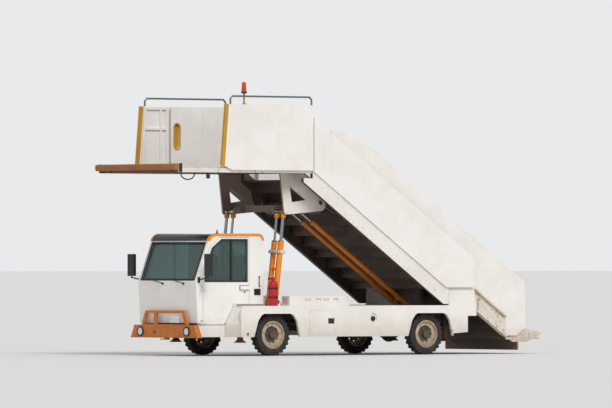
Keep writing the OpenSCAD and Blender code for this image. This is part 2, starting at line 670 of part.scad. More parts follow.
// Extinguisher in its cover, standing on the deck behind the cab
bottle = [85, 380, 450, 500];
module extinguisher() color("crimson") translate([cab_rear_x - 95, side_in - 175, deck_z + seat])
    rotate_extrude() polygon(concat(
        [[0, 0], [bottle[0] - 8, 0], [bottle[0], 8]],
        arc([bottle[0] - 50, bottle[1]], 50, 0, 70),
        [[30, bottle[2] - 10], [30, bottle[3]], [0, bottle[3]]]
    ));

// Pedestals: plates on the side panels that carry the flights' pivot
pin_r = 30;
plate_y = side_y - 55;
pedestal_z = pivot[1] + 100;
module pedestals() color("ghostwhite") both() {
    slab(plate_y, side_y) polygon([
        [tail_x + 430, deck_z + seat], [tail_x - seat, deck_z + seat], [tail_x - seat, deck_z - 190],
        [tail_x - 200, deck_z - 190], [tail_x - 140, pedestal_z], [tail_x + 430, pedestal_z]
    ]);
    bar(pivot, pin_r, rail_in + 2, plate_y + sink);
    bar(pivot, 2 * pin_r, rail_out + 6, plate_y + sink);
}
lug_t = 30;
module lift_feet() color("ghostwhite") both() {
    for (y = [lift_y[1] - 75, (lift_y[0] + lift_y[1] - lug_t) / 2, lift_y[0] + 55]) slab(y, y + lug_t) polygon([
        [lift_foot[0] - 110, deck_z + seat], [lift_foot[0] + 90, deck_z + seat],
        [lift_foot[0] + 45, lift_foot[1] + lug_t], [lift_foot[0] - 45, lift_foot[1] + lug_t]
    ]);
    bar(lift_foot, pin_d / 2, lift_y[1] - 80, lift_y[0] + 90);
}

// Lift cylinders stand in pairs along their own line from the foot pin, and
// two clamps join the barrels of a pair
rod_ds = [rod_d, rod_d - 12];
eye_r = [44, 40];
eye_half = 36;
bore_foot = 70;
clamp_z = [[560, 600], [860, 920]];
clamp_half = [30, 62];
module lift_place() translate([lift_foot[0], 0, lift_foot[1]]) rotate([0, -lift_lean, 0]) children();
module lift_barrels() color("darkorange") lift_place() difference() {
    union() {
        for (i = [0, 1]) {
            translate([0, lift_y[i], eye_r[1]]) cylinder(d = barrel_d - 10 * i, h = barrel_len);
            translate([0, lift_y[i], barrel_len - 20]) cylinder(d = barrel_d + 8 - 10 * i, h = 44);
            bar([0, 0], eye_r[0], lift_y[i] - eye_half, lift_y[i] + eye_half);
        }
        box([-clamp_half[0], lift_y[1], clamp_z[0][0]], [clamp_half[0], lift_y[0], clamp_z[0][1]]);
        box([-clamp_half[1], lift_y[1] - clamp_half[1], clamp_z[1][0]],
            [clamp_half[1], lift_y[0] + clamp_half[1], clamp_z[1][1]]);
    }
    bar([0, 0], pin_d / 2 + run, lift_y[1] - 100, lift_y[0] + 100);
    for (i = [0, 1]) translate([0, lift_y[i], bore_foot]) cylinder(d = rod_ds[i] + 2 * run, h = barrel_len);
}
module lift_rods() color("silver") lift_place() {
    for (i = [0, 1]) {
        translate([0, lift_y[i], bore_foot + 20]) cylinder(d = rod_ds[i], h = lift_len - bore_foot - 50);
        translate([0, 0, lift_len]) bar([0, 0], eye_r[1], lift_y[i] - eye_half, lift_y[i] + eye_half);
    }
    translate([0, 0, lift_len]) bar([0, 0], pin_d / 2, lift_y[1] - 54, bracket_y[0] - 6);
}

// Lower flight: two channel rails that turn on the pivot, closed treads, a
// landing with its side cheeks, and the telescopes' anchor
rail_x = [lower_first_x + 350, lower_first_x + lower_steps * going - 5];
flange_t = 36;
rail_web = 18;
beam_steps = [2, 7, 12];
beam_x = [100, 160];
beam_drop = 50;
cheek_w = 60;
landing = [[-480, 6], [30, 6], [30, -30], [-480, -30]];
landing_cheek = [[-180, 157], [-550, 76], [-180, -81], [150, -81], [250, 6], [-50, 157]];
riser_t = 24;
scope_y = 140;
scope_r = 42;
scope_rod_r = 25;
scope_foot = [pivot[0] + 250, at(scope_line, pivot[0] + 250)];
scope_head = [head_pin[0] - 146, at(scope_line, head_pin[0] - 146)];
// A tread whose closed riser ends behind the nose of the tread below
function tread(x, z) = [
    [x, z], [x + going, z], [x + going, z - tread_t], [x + riser_t, z - tread_t],
    [x + riser_t, z - step_rise - tread_t + sink], [x - sink, z - step_rise - tread_t + sink],
    [x - sink, z - step_rise - tread_t / 2], [x, z - step_rise - tread_t / 2]
];
module lower_frame() color("gainsboro") {
    both() difference() {
        union() {
            difference() {
                slab(rail_in, rail_out) polygon(band(rail_line[0], rail_line[1], rail_x[0], rail_x[1]));
                slab(rail_in + rail_web, rail_out + sink) polygon(band(rail_line[0] + flange_t,
                    rail_line[1] - flange_t, rail_x[0] - sink, rail_x[1] + sink));
            }
            bar(pivot, pin_r + 32, rail_in, rail_out);
            slab(rail_in + rail_web - sink, rail_out) polygon(band(rail_line[0] + flange_t - sink,
                rail_line[1] - flange_t - 90, rail_x[0] + 20, rail_x[0] + 640));
        }
        bar(pivot, pin_r + run, rail_in - sink, rail_out + sink);
    }
    for (i = [0 : lower_steps - 1]) {
        x = lower_first_x + going * i;
        slab(-lower_in, lower_in) polygon(tread(x, at(lower_nose, x)));
    }
    for (i = beam_steps) {
        x = lower_first_x + going * i;
        z = at(lower_nose, x) - tread_t;
        box([x + beam_x[0], -lower_in, z - beam_drop], [x + beam_x[1], lower_in, z + sink]);
    }
    slab(-lower_in, lower_in) polygon(moved(landing, [lower_first_x, landing_z]));
    both() slab(lower_in - cheek_w, lower_in) polygon(moved(landing_cheek, [lower_first_x, landing_z]));
    slab(-240, 240) polygon([
        [scope_foot[0] - 100, pivot[1] + 109], [scope_foot[0] - 100, scope_foot[1] - 49],
        on_slope(scope_foot, 0, -60), on_slope(scope_foot, 0, 60), [scope_foot[0] - 34, pivot[1] + 109]
    ]);
}

// Lower guards: flat panels with a folded top edge
guard_x = [lower_first_x - 125, rail_x[1] + 415];
guard_foot = [landing_z + 176, landing_z + 36];
guard_head = floor_z + 680;
fold_w = 22;
fold_h = 30;
module lower_guards() color("ghostwhite") both() {
    y = [lower_in + seat / 3, rail_in - seat / 3];
    slab(y[0], y[1]) polygon([
        [guard_x[0], guard_foot[0]], [lower_first_x + 60, guard_foot[1]],
        [reach(rail_line[0], guard_foot[1]), guard_foot[1]], [guard_x[1], at(rail_line[0], guard_x[1])],
        [guard_x[1], guard_head], [reach(lower_top, guard_head), guard_head], [guard_x[0], at(lower_top, guard_x[0])]
    ]);
    slab(y[0] - fold_w, y[0] + sink)
        polygon(band(lower_top - fold_h, lower_top, guard_x[0], reach(lower_top, guard_head)));
}
module telescope_barrels() color("darkorange") both() difference() {
    a = on_slope(scope_foot, seat, 0);
    b = on_slope(scope_foot, 2855, 0);
    c = on_slope(scope_foot, 60, 0);
    d = on_slope(b, 10, 0);
    union() {
        rod([a[0], scope_y, a[1]], [b[0], scope_y, b[1]], scope_r);
        for (n = [400, 2795]) rod([on_slope(scope_foot, n, 0)[0], scope_y, on_slope(scope_foot, n, 0)[1]],
            [on_slope(scope_foot, n + 50, 0)[0], scope_y, on_slope(scope_foot, n + 50, 0)[1]], scope_r + 7);
    }
    rod([c[0], scope_y, c[1]], [d[0], scope_y, d[1]], scope_rod_r + run);
}

// Upper flight: channel stringers, treads, the platform's hinge cheeks, and
// rollers that run in the lower flight's rails
upper_steps = 10;
upper_end_x = pivot[0] + 350;
deck_gap = 25;
stringer_web = 18;
cheek_line = upper_nose - step_rise - tread_t - 2;
stringer_top = upper_nose + 2;
cheek_x = [head_pin[0] - 396, upper_front_x];
head_r = 25;
roller_x = [-700, -1900];
roller_r = 56;
roller_arm = 38;
roller_line = rail_line[0] + flange_t + (roller_r + 6) / along[0];
module upper_frame() color("gainsboro") {
    foot_z = deck_z + deck_gap;
    nose_x = platform_rear_x + 180;
    both() difference() {
        slab(stringer_y, upper_in) polygon([
            [upper_end_x, foot_z], [reach(upper_low, foot_z), foot_z], [nose_x, at(upper_low, nose_x)],
            [nose_x, floor_z - 170], [upper_front_x, floor_z - 170],
            [upper_front_x, at(stringer_top, upper_front_x)], [upper_end_x, at(stringer_top, upper_end_x)]
        ]);
        slab(stringer_y - sink, upper_in - stringer_web)
            polygon(band(upper_low + flange_t, upper_nose - flange_t, upper_end_x + 320, upper_front_x - 40));
    }
    for (i = [0 : upper_steps - 1]) {
        x = upper_front_x - going * (i + 1);
        y = i < 2 ? cheek_y - sink : stringer_y + sink;
        slab(-y, y) polygon(tread(x, at(upper_nose, x)));
    }
    both() difference() {
        slab(cheek_y - cheek_t, cheek_y) polygon([
            [cheek_x[0], at(cheek_line, cheek_x[0])], head_pin + [-116, -50], head_pin + [-46, -75],
            head_pin + [54, -75], head_pin + [114, 0], [head_pin[0] + 174, at(cheek_line, head_pin[0] + 174)],
            [cheek_x[1], at(cheek_line, cheek_x[1])], [cheek_x[1], at(stringer_top, cheek_x[1])],
            [cheek_x[0], at(stringer_top, cheek_x[0])]
        ]);
        bar(head_pin, head_r + run, cheek_y - cheek_t - 100, cheek_y + 30);
    }
    box([head_pin[0] - 306, -stringer_y - sink, head_pin[1] - 60], [head_pin[0] - 226, stringer_y + sink, head_pin[1]]);
    slab(-cheek_y + cheek_t - sink, cheek_y - cheek_t + sink) polygon([
        on_slope(scope_head, 0, -50), on_slope(scope_head, 0, 50), head_pin + [-166, 0],
        head_pin + [-66, 20], head_pin + [-66, -160]
    ]);
    for (i = [6, 9]) {
        x = upper_front_x - going * (i + 1);
        z = at(upper_nose, x) - tread_t;
        box([x + beam_x[0], -stringer_y - sink, z - beam_drop], [x + beam_x[1], stringer_y + sink, z + sink]);
    }
    both() for (x = roller_x) {
        slab(stringer_y + rail_gap / 2, upper_in) polygon([
            [x - roller_arm, at(upper_nose, x - roller_arm) - flange_t / 2],
            [x + roller_arm, at(upper_nose, x + roller_arm) - flange_t / 2],
            [x + roller_arm, at(roller_line, x + roller_arm)], [x - roller_arm, at(roller_line, x - roller_arm)]
        ]);
        bar([x, at(roller_line, x)], roller_r, rail_in + rail_web + 8, stringer_y + rail_gap / 2 + sink);
    }
}

// Upper guards: flat panels with a folded top edge
upper_guard_x = [pivot[0] - 200, upper_front_x - 15];
guard_lap = 45;
module upper_guards() color("ghostwhite") both() {
    low = upper_nose - guard_lap;
    slab(upper_in + seat / 3, upper_out) polygon([
        [upper_guard_x[0], pedestal_z + seat], [reach(low, pedestal_z + seat), pedestal_z + seat],
        [upper_guard_x[1], at(low, upper_guard_x[1])], [upper_guard_x[1], at(upper_top, upper_guard_x[1])],
        [upper_guard_x[0], at(upper_top, upper_guard_x[0])]
    ]);
    slab(upper_in - fold_w, upper_in + sink)
        polygon(band(upper_top - fold_h, upper_top, upper_guard_x[0], upper_guard_x[1]));
}
module telescope_rods() color("silver") both() {
    a = on_slope(scope_foot, 1580, 0);
    b = on_slope(scope_head, -seat, 0);
    rod([a[0], scope_y, a[1]], [b[0], scope_y, b[1]], scope_rod_r);
}

// Platform: a floor plate on long and cross beams, with the guards' tracks
plat_y = platform_w / 2;
plat_wall = 40;
plat_in = plat_y - plat_wall;
beam_h2 = 80;
plate_t = 30;
apron_y = plat_y - 100;
bumper_depth = 80;
apron_x = front_tip_x - bumper_depth;
guard_y = [plat_in - 70, plat_in - 35];
floor_beams = 8;
track_lip = 8;
track_h = 16;
module platform_deck() color("gainsboro") {
    low = floor_z - beam_h2;
    top = floor_z - plate_t + sink;
    box([platform_rear_x, -plat_in + seat, floor_z - plate_t], [platform_front_x, plat_in - seat, floor_z]);
    box([platform_front_x - sink, -apron_y, floor_z - plate_t], [apron_x - seat, apron_y, floor_z]);
    both() {
        box([platform_rear_x, bracket_y[0] - 15, low], [apron_x - seat, bracket_y[1] + 15, top]);
        box([platform_rear_x, plat_in - 60, low], [platform_front_x, plat_in - seat, top]);
        box([platform_front_x - sink, apron_y - 60, low], [apron_x - seat, apron_y, top]);
        difference() {
            box([platform_rear_x + 30, guard_y[0] - track_lip, floor_z - sink],
                [platform_front_x - 5, guard_y[1] + track_lip, floor_z + track_h + 20]);
            box([platform_rear_x + 20, guard_y[0] - seat, floor_z + track_h],
                [platform_front_x + 5, guard_y[1] + seat, floor_z + track_h + 30]);
        }
    }
    for (i = [0 : floor_beams - 1]) {
        x = platform_rear_x + 40 + i * (apron_x - platform_rear_x - 110) / (floor_beams - 1);
        box([x - 30, -apron_y + sink, low], [x + 30, apron_y - sink, top]);
    }
}

// Walls: flat panels, with a frame of ribs inside their front third
wall_foot = floor_z - 34;
strip_w = 70;
wall_lean = 90;
wall_top = floor_z + wall_h;
front_foot = floor_z + 57;
strip_x = platform_front_x - 15 - strip_w;
rib_x = [strip_x - 615, strip_x - 475];
rib_z = [20, 700, wall_h - 60];
rib_w = 40;
rib_t = plat_in - guard_y[1] - track_lip - 2;
module platform_walls() color("ghostwhite") both() {
    slab(plat_in, plat_y) polygon([
        [platform_rear_x, wall_foot], [strip_x - 165, wall_foot], [strip_x, front_foot - 17],
        [strip_x - wall_lean, wall_top], [platform_rear_x, wall_top]
    ]);
    slab(plat_in - rib_t, plat_in + sink) {
        for (z = rib_z)
            translate([rib_x[0], floor_z + z]) square([strip_x - 60 - z * wall_lean / wall_h - rib_x[0], rib_w]);
        for (x = rib_x) translate([x, floor_z + rib_z[0]]) square([rib_w, wall_h - 2 * rib_z[0]]);
        polygon([
            [strip_x - 65, floor_z + 60], [strip_x - 25, floor_z + 60],
            [strip_x - 100, wall_top - 20], [strip_x - 140, wall_top - 20]
        ]);
    }
}
module edge_strips() color("goldenrod") both() slab(plat_in - 4, plat_y) polygon([
    [strip_x + seat, front_foot - 17], [strip_x + strip_w, front_foot],
    [strip_x + strip_w - wall_lean, wall_top], [strip_x - wall_lean + seat, wall_top]
]);

// Sliding guards: flat panels in the floor's tracks, each with a hand slot
slide_x = [platform_rear_x + 40, platform_rear_x + 1292];
hand_slot = [124, 60, 427, 752];
module sliding_guard() color("white") difference() {
    slab(guard_y[0], guard_y[1]) polygon([
        [slide_x[0], floor_z + track_h + seat], [slide_x[1], floor_z + track_h + seat],
        [slide_x[1], wall_top - 20], [slide_x[0], wall_top - 20]
    ]);
    x = slide_x[1] - hand_slot[0];
    box([x - hand_slot[1], guard_y[0] - sink, floor_z + hand_slot[2]],
        [x + hand_slot[1], guard_y[1] + sink, floor_z + hand_slot[3]]);
    for (z = [hand_slot[2], hand_slot[3]]) bar([x, floor_z + z], hand_slot[1], guard_y[0] - sink, guard_y[1] + sink);
}

// Brackets under the platform: plates with a triangular opening, from the
// hinge pin to the lift pin, joined by one box beam across
bracket_foot = [[-4, 50], [-17, 5], [-52, -8], [-126, -140], [-126, 180]];
bracket_hole = [[-69, 440], [314, 50], [-114, 160]];
cross_beam = [[-222, -10], [-132, 110]];
boss = [42, 14];
module platform_brackets() color("whitesmoke") {
    top = floor_z - beam_h2 - seat;
    both() {
        difference() {
            slab(bracket_y[0], bracket_y[1]) polygon([
                [lift_head[0] + 138, top], lift_head + [56, -10], lift_head + [43, -45], lift_head + [8, -58],
                head_pin + [-66, -140], head_pin + [-126, -80], head_pin + [-126, 180], [platform_rear_x - 58, top]
            ]);
            slab(bracket_y[0] - sink, bracket_y[1] + sink)
                polygon([lift_head + bracket_hole[0], head_pin + bracket_hole[1], lift_head + bracket_hole[2]]);
        }
        bar(head_pin, head_r, cheek_y - cheek_t - 10, bracket_y[1] + sink);
        bar(head_pin, boss[0], cheek_y + 5, bracket_y[1] + boss[1]);
        bar(lift_head, boss[0], bracket_y[1] - sink, bracket_y[1] + boss[1]);
        slab(lift_y[1] - 85, lift_y[1] - 60) polygon([
            lift_head + [-172, -10], lift_head + [48, -50], lift_head + [48, 50],
            lift_head + [-82, 110], lift_head + [-172, 110]
        ]);
    }
    box([lift_head[0] + cross_beam[0][0], -bracket_y[0] - sink, lift_head[1] + cross_beam[0][1]],
        [lift_head[0] + cross_beam[1][0], bracket_y[0] + sink, lift_head[1] + cross_beam[1][1]]);
}

// Apron bumper: a rubber bar with bevelled edges along the front
bumper_z = [-42, 72];
bevel = 22;
module apron_bumper() color("peru") slab(-apron_y, apron_y) polygon([
    [apron_x, floor_z + bumper_z[0]], [front_tip_x - bevel, floor_z + bumper_z[0]],
    [front_tip_x, floor_z + bumper_z[0] + bevel], [front_tip_x, floor_z + bumper_z[1] - bevel],
    [front_tip_x - bevel, floor_z + bumper_z[1]], [apron_x, floor_z + bumper_z[1]]
]);

// Handrails: one bent tube on each wall, with a flange round each foot
tube_r = 16;
handrail_x = [platform_rear_x + 30, platform_rear_x + 1810];
bend = 45;
module platform_rails() color("silver") both() {
    y = plat_y - plat_wall / 2;
    z = wall_top + rail_rise;
    for (i = [0, 1]) {
        x = handrail_x[i];
        side = i == 0 ? bend : -bend;
        path = [[x, y, wall_top + seat], [x, y, z - bend], [x + side, y, z]];
        translate(path[0] + [0, 0, 2]) cylinder(r = tube_r + 3.5, h = 8);
        for (n = [0, 1]) {
            rod(path[n], path[n + 1], tube_r);
            translate(path[n + 1]) sphere(r = tube_r + 0.6);
        }
    }
    rod([handrail_x[0] + bend, y, z], [handrail_x[1] - bend, y, z], tube_r);
}

// Beacon on a stem that stands on the left wall, clear of the handrail
beacon_x = platform_rear_x + 1480;
stem_r = 12;
stem_h = 202;
dome = [46, 36, 24, 22, 150, 18];
module beacon() color("orangered") translate([beacon_x, plat_in - 24, wall_top + seat]) {
    box([-25, -22, 0], [25, 60, stem_r]);
    cylinder(r = stem_r, h = stem_h + sink);
    translate([0, 0, stem_h]) cylinder(r = dome[0], h = dome[3]);
    translate([0, 0, stem_h + dome[3]]) cylinder(r1 = dome[0], r2 = dome[1], h = dome[4]);
    translate([0, 0, stem_h + dome[3] + dome[4]]) cylinder(r1 = dome[1], r2 = dome[2], h = dome[5]);
}

place() chassis_frame();
place() deck();
place() side_body();  // side_body_left
place() mirror([0, 1, 0]) side_body();  // side_body_right
place() deck_lockers();
place() engine_block();
place() front_axle();
place() rear_axle();
place() cab_shell();
place() roof_panel();
place() roof_trim();
place() cab_glass();
place() cab_controls();
place() cab_seats();
place() door();  // door_left
place() mirror([0, 1, 0]) door();  // door_right
place() door_glass();  // door_glass_left
place() mirror([0, 1, 0]) door_glass();  // door_glass_right
place() front_bumper();
place() headlamps();
place() mirrors();
place() extinguisher();
place() pedestals();
place() lift_feet();
place() knuckle();  // knuckle_left
place() mirror([0, 1, 0]) knuckle();  // knuckle_right
place() wheel_place(0) tyre_shape();  // tyre_front_left
place() wheel_place(1) tyre_shape();  // tyre_front_right
place() wheel_place(2) tyre_shape();  // tyre_rear_left
place() wheel_place(3) tyre_shape();  // tyre_rear_right
place() wheel_place(0) rim_shape();  // rim_front_left
place() wheel_place(1) rim_shape();  // rim_front_right
place() wheel_place(2) rim_shape();  // rim_rear_left
place() wheel_place(3) rim_shape();  // rim_rear_right
place() jack(0);  // jack_front_left
place() mirror([0, 1, 0]) jack(0);  // jack_front_right
place() jack(1);  // jack_rear_left
place() mirror([0, 1, 0]) jack(1);  // jack_rear_right
place() lift_barrels();  // lift_barrels_left
place() mirror([0, 1, 0]) lift_barrels();  // lift_barrels_right
place() lift_rods();  // lift_rods_left
place() mirror([0, 1, 0]) lift_rods();  // lift_rods_right
place() lower_frame();
place() lower_guards();
place() telescope_barrels();
place() upper_frame();
place() upper_guards();
place() telescope_rods();
place() platform_deck();
place() platform_walls();
place() edge_strips();
place() platform_brackets();
place() apron_bumper();
place() platform_rails();
place() beacon();
place() sliding_guard();  // sliding_guard_left
place() mirror([0, 1, 0]) sliding_guard();  // sliding_guard_right
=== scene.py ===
import math

import bpy
from mathutils import Matrix, Vector


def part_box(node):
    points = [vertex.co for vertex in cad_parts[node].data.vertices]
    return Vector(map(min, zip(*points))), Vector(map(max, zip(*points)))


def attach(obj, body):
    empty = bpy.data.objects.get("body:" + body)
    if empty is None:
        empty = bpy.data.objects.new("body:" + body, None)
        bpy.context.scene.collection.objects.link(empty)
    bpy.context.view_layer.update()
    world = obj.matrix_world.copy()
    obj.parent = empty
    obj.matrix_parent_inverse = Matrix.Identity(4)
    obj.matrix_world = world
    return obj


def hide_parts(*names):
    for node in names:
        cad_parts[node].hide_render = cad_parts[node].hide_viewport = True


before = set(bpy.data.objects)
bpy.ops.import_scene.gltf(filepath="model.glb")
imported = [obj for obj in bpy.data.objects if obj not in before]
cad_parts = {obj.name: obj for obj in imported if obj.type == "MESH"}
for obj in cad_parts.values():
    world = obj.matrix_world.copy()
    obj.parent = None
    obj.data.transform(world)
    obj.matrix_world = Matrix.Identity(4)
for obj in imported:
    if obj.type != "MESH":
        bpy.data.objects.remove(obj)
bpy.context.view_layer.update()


# Chassis: two channel rails with cross members, axles on leaf springs, and
# steering knuckles. Black chassis enamel brushed on steel, under a skin of
# pale road dust.
def linear(hex_code):
    levels = [int(hex_code[i:i + 2], 16) / 255 for i in (0, 2, 4)]
    return [c / 12.92 if c <= 0.04045 else ((c + 0.055) / 1.055) ** 2.4 for c in levels] + [1]


def add(tree, kind, settings={}, links={}):
    made = tree.nodes.new(kind)
    for name, value in settings.items():
        if isinstance(name, str) and hasattr(made, name):
            setattr(made, name, value)
        else:
            made.inputs[name].default_value = value
    for name, source in links.items():
        tree.links.new(source, made.inputs[name])
    return made


def new_finish(name):
    finish = bpy.data.materials.new(name)
    finish.use_nodes = True
    tree = finish.node_tree
    return finish, tree, tree.nodes["Principled BSDF"]


def noise(tree, place, scale, detail, roughness=0.5):
    return add(tree, "ShaderNodeTexNoise", {"Scale": scale, "Detail": detail, "Roughness": roughness},
               {"Vector": place}).outputs["Fac"]


def spread(tree, value, low, high, at_low, at_high):
    return add(tree, "ShaderNodeMapRange", {1: low, 2: high, 3: at_low, 4: at_high}, {0: value}).outputs[0]


def cover(tree, share, under, over):
    return add(tree, "ShaderNodeMix", {"data_type": "RGBA", 7: linear(over)},
               {0: share, 6: under}).outputs[2]


def enamel(name, shade, chalk, dust, roughness=0.42, dust_top=0.75, streaks=0.2, rust=0.0,
           shade_within=None, inside=None):
    finish, tree, shader = new_finish(name)
    place = add(tree, "ShaderNodeTexCoord").outputs["Object"]
    # Chalking in patches about half a metre across
    patches = noise(tree, place, 1.8, 5, 0.6)
    paint = add(tree, "ShaderNodeMix", {"data_type": "RGBA", 6: linear(shade), 7: linear(chalk)},
                {0: spread(tree, patches, 0.40, 0.72, 0.0, 0.75)}).outputs[2]
    if shade_within:
        # Painted shade: faces turned inwards, nearer the middle than the outer
        # faces, take the darker inside colour
        across = add(tree, "ShaderNodeSeparateXYZ", {}, {0: place}).outputs["Y"]
        away = add(tree, "ShaderNodeMath", {"operation": "ABSOLUTE"}, {0: across})
        inner = add(tree, "ShaderNodeMath", {"operation": "LESS_THAN", 1: shade_within}, {0: away.outputs[0]})
        paint = cover(tree, inner.outputs[0], paint, inside)
    # Rain streaks 40 mm apart, drawn out down the panel
    down = add(tree, "ShaderNodeMapping", {"Scale": (22, 22, 1.1)}, {"Vector": place}).outputs[0]
    runs = noise(tree, down, 1.0, 4, 0.65)
    paint = cover(tree, spread(tree, runs, 0.55, 0.85, 0.0, streaks), paint, dust)
    # Road dust, thick at the sill and gone at dust_top, with a broken edge
    height = add(tree, "ShaderNodeSeparateXYZ", {}, {0: place}).outputs["Z"]
    waver = add(tree, "ShaderNodeMath", {"operation": "MULTIPLY_ADD", 1: 0.35},
                {0: noise(tree, place, 7.0, 6), 2: height}).outputs[0]
    paint = cover(tree, spread(tree, waver, 0.35, dust_top + 0.18, 0.5, 0.0), paint, dust)
    if rust:
        # Rust blooming through in spots of 20 to 60 mm
        spots = noise(tree, place, 16.0, 8, 0.7)
        paint = cover(tree, spread(tree, spots, 0.60 - rust * 0.1, 0.66, 0.0, 0.9), paint, "7a4a26")
    tree.links.new(paint, shader.inputs["Base Color"])
    # Orange peel of the spray gun, drawn coarse at 12 mm so that it shows
    bump = add(tree, "ShaderNodeBump", {"Strength": 0.12, "Distance": 0.002},
               {"Height": noise(tree, place, 85.0, 3)})
    rough = spread(tree, patches, 0.3, 0.7, roughness - 0.07, roughness + 0.12)
    tree.links.new(rough, shader.inputs["Roughness"])
    tree.links.new(bump.outputs[0], shader.inputs["Normal"])
    return finish


def dress(finish, *nodes):
    for name in nodes:
        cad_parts[name].data.materials.clear()
        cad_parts[name].data.materials.append(finish)


chassis_black = enamel("Black chassis enamel under dust", "1d1c1b", "35322f", "6e6557",
                       roughness=0.62, dust_top=0.9)
dress(chassis_black, "chassis_frame", "front_axle", "rear_axle", "engine_block",
      "knuckle_left", "knuckle_right")


# Side panels, deck and lockers: folded steel sheet in sprayed off-white
# enamel, chalked by the sun. A filler cap, a socket behind its flap, locker
# grips and tie-down eyes are screwed on.
def block(low, high):
    bpy.ops.object.select_all(action="DESELECT")
    bpy.ops.mesh.primitive_cube_add(size=1, location=[(a + b) / 2 for a, b in zip(low, high)],
                                    scale=[b - a for a, b in zip(low, high)])
    bpy.ops.object.transform_apply(location=True, rotation=True, scale=True)
    return bpy.context.object


def drum(start, end, radius, sides=32):
    start, end = Vector(start), Vector(end)
    bpy.ops.object.select_all(action="DESELECT")
    bpy.ops.mesh.primitive_cylinder_add(vertices=sides, radius=radius, depth=(end - start).length,
                                        location=(start + end) / 2,
                                        rotation=(end - start).to_track_quat("Z", "Y").to_euler())
    bpy.ops.object.transform_apply(location=True, rotation=True, scale=True)
    return bpy.context.object


def pick(piece, test):
    bpy.context.view_layer.objects.active = piece
    piece.select_set(True)
    mesh = piece.data
    mesh.vertices.foreach_set("select", [False] * len(mesh.vertices))
    mesh.edges.foreach_set("select", [False] * len(mesh.edges))
    for face in mesh.polygons:
        face.select = bool(test(face.center, face.normal))
    bpy.ops.object.mode_set(mode="EDIT")
    bpy.ops.mesh.select_mode(type="FACE")


def step_in(piece, test, border, depth):
    # Insets the picked faces by a border, then sinks or raises what is left
    pick(piece, test)
    bpy.ops.mesh.inset(thickness=border, depth=depth, use_individual=False)
    bpy.ops.object.mode_set(mode="OBJECT")


def hollow(piece, test):
    pick(piece, test)
    bpy.ops.mesh.delete(type="FACE")
    bpy.ops.object.mode_set(mode="OBJECT")


def soften(piece, width, steps=2):
    edge = piece.modifiers.new("worn edge", "BEVEL")
    edge.width = width
    edge.segments = steps
    edge.limit_method = "ANGLE"
    bpy.context.view_layer.objects.active = piece
    bpy.ops.object.modifier_apply(modifier=edge.name)


def thicken(piece, amount):
    wall = piece.modifiers.new("sheet", "SOLIDIFY")
    wall.thickness = amount
    wall.offset = 0
    bpy.context.view_layer.objects.active = piece
    bpy.ops.object.modifier_apply(modifier=wall.name)


def hand_over(piece, name, body, finish, angle=35):
    piece.name = name
    piece.data.materials.clear()
    piece.data.materials.append(finish)
    bpy.ops.object.select_all(action="DESELECT")
    piece.select_set(True)
    bpy.context.view_layer.objects.active = piece
    bpy.ops.object.shade_smooth_by_angle(angle=math.radians(angle))
    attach(piece, body)


def copy_by(piece, name, body, shift=(0, 0, 0), mirrored=False):
    twin = piece.copy()
    twin.data = piece.data.copy()
    bpy.context.collection.objects.link(twin)
    if mirrored:
        twin.data.transform(Matrix.Diagonal((1, -1, 1, 1)))
        twin.data.flip_normals()
    twin.data.transform(Matrix.Translation(shift))
    twin.name = name
    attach(twin, body)
    return twin


body_white = enamel("Off-white enamel on steel sheet", "e9e4dc", "dad4ca", "a3917a", dust_top=0.72)
dress(body_white, "side_body_left", "side_body_right", "deck", "deck_lockers", "pedestals", "lift_feet")

plastic, tree, shader = new_finish("Black moulded ABS")
place = add(tree, "ShaderNodeTexCoord").outputs["Object"]
bump = add(tree, "ShaderNodeBump", {"Strength": 0.25, "Distance": 0.001},
           {"Height": noise(tree, place, 320.0, 2)})
tone = add(tree, "ShaderNodeMix", {"data_type": "RGBA", 6: linear("17181a"), 7: linear("2b2c2e")},
           {0: noise(tree, place, 4.0, 4)})
tree.links.new(tone.outputs[2], shader.inputs["Base Color"])
tree.links.new(bump.outputs[0], shader.inputs["Normal"])
shader.inputs["Roughness"].default_value = 0.55

panel_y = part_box("side_body_left")[1][1] - 0.008
filler_x, filler_z = -0.175, 0.650
cap = drum((filler_x, panel_y - 0.018, filler_z), (filler_x, panel_y + 0.004, filler_z), 0.044, 40)
step_in(cap, lambda c, n: n.y > 0.9, 0.008, 0.006)
step_in(cap, lambda c, n: n.y > 0.9, 0.014, -0.004)
soften(cap, 0.0015)
hand_over(cap, "filler_cap", "chassis", plastic)
bar = block((filler_x - 0.032, panel_y - 0.002, filler_z - 0.006),
            (filler_x + 0.032, panel_y + 0.012, filler_z + 0.006))
step_in(bar, lambda c, n: n.y > 0.9, 0.003, 0.003)
soften(bar, 0.002)
hand_over(bar, "filler_cap_bar", "chassis", plastic)

socket = block((0.70, panel_y - 0.018, 0.568), (0.818, panel_y - 0.002, 0.652))
step_in(socket, lambda c, n: n.y > 0.9, 0.006, -0.003)
step_in(socket, lambda c, n: n.y > 0.9, 0.012, 0.005)
soften(socket, 0.002)
hand_over(socket, "socket_flap", "chassis", plastic)

locker_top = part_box("deck_lockers")[1][2]
grip_gap = 0.40
grip = block((0.79, panel_y - 0.052, locker_top - 0.075), (0.91, panel_y - 0.036, locker_top - 0.045))
step_in(grip, lambda c, n: n.y > 0.9, 0.006, -0.006)
soften(grip, 0.003)
hand_over(grip, "locker_grip_1", "chassis", plastic)
for i, (along, mirrored) in enumerate(((grip_gap, False), (0, True), (grip_gap, True))):
    copy_by(grip, f"locker_grip_{i + 2}", "chassis", (along, 0, 0), mirrored)

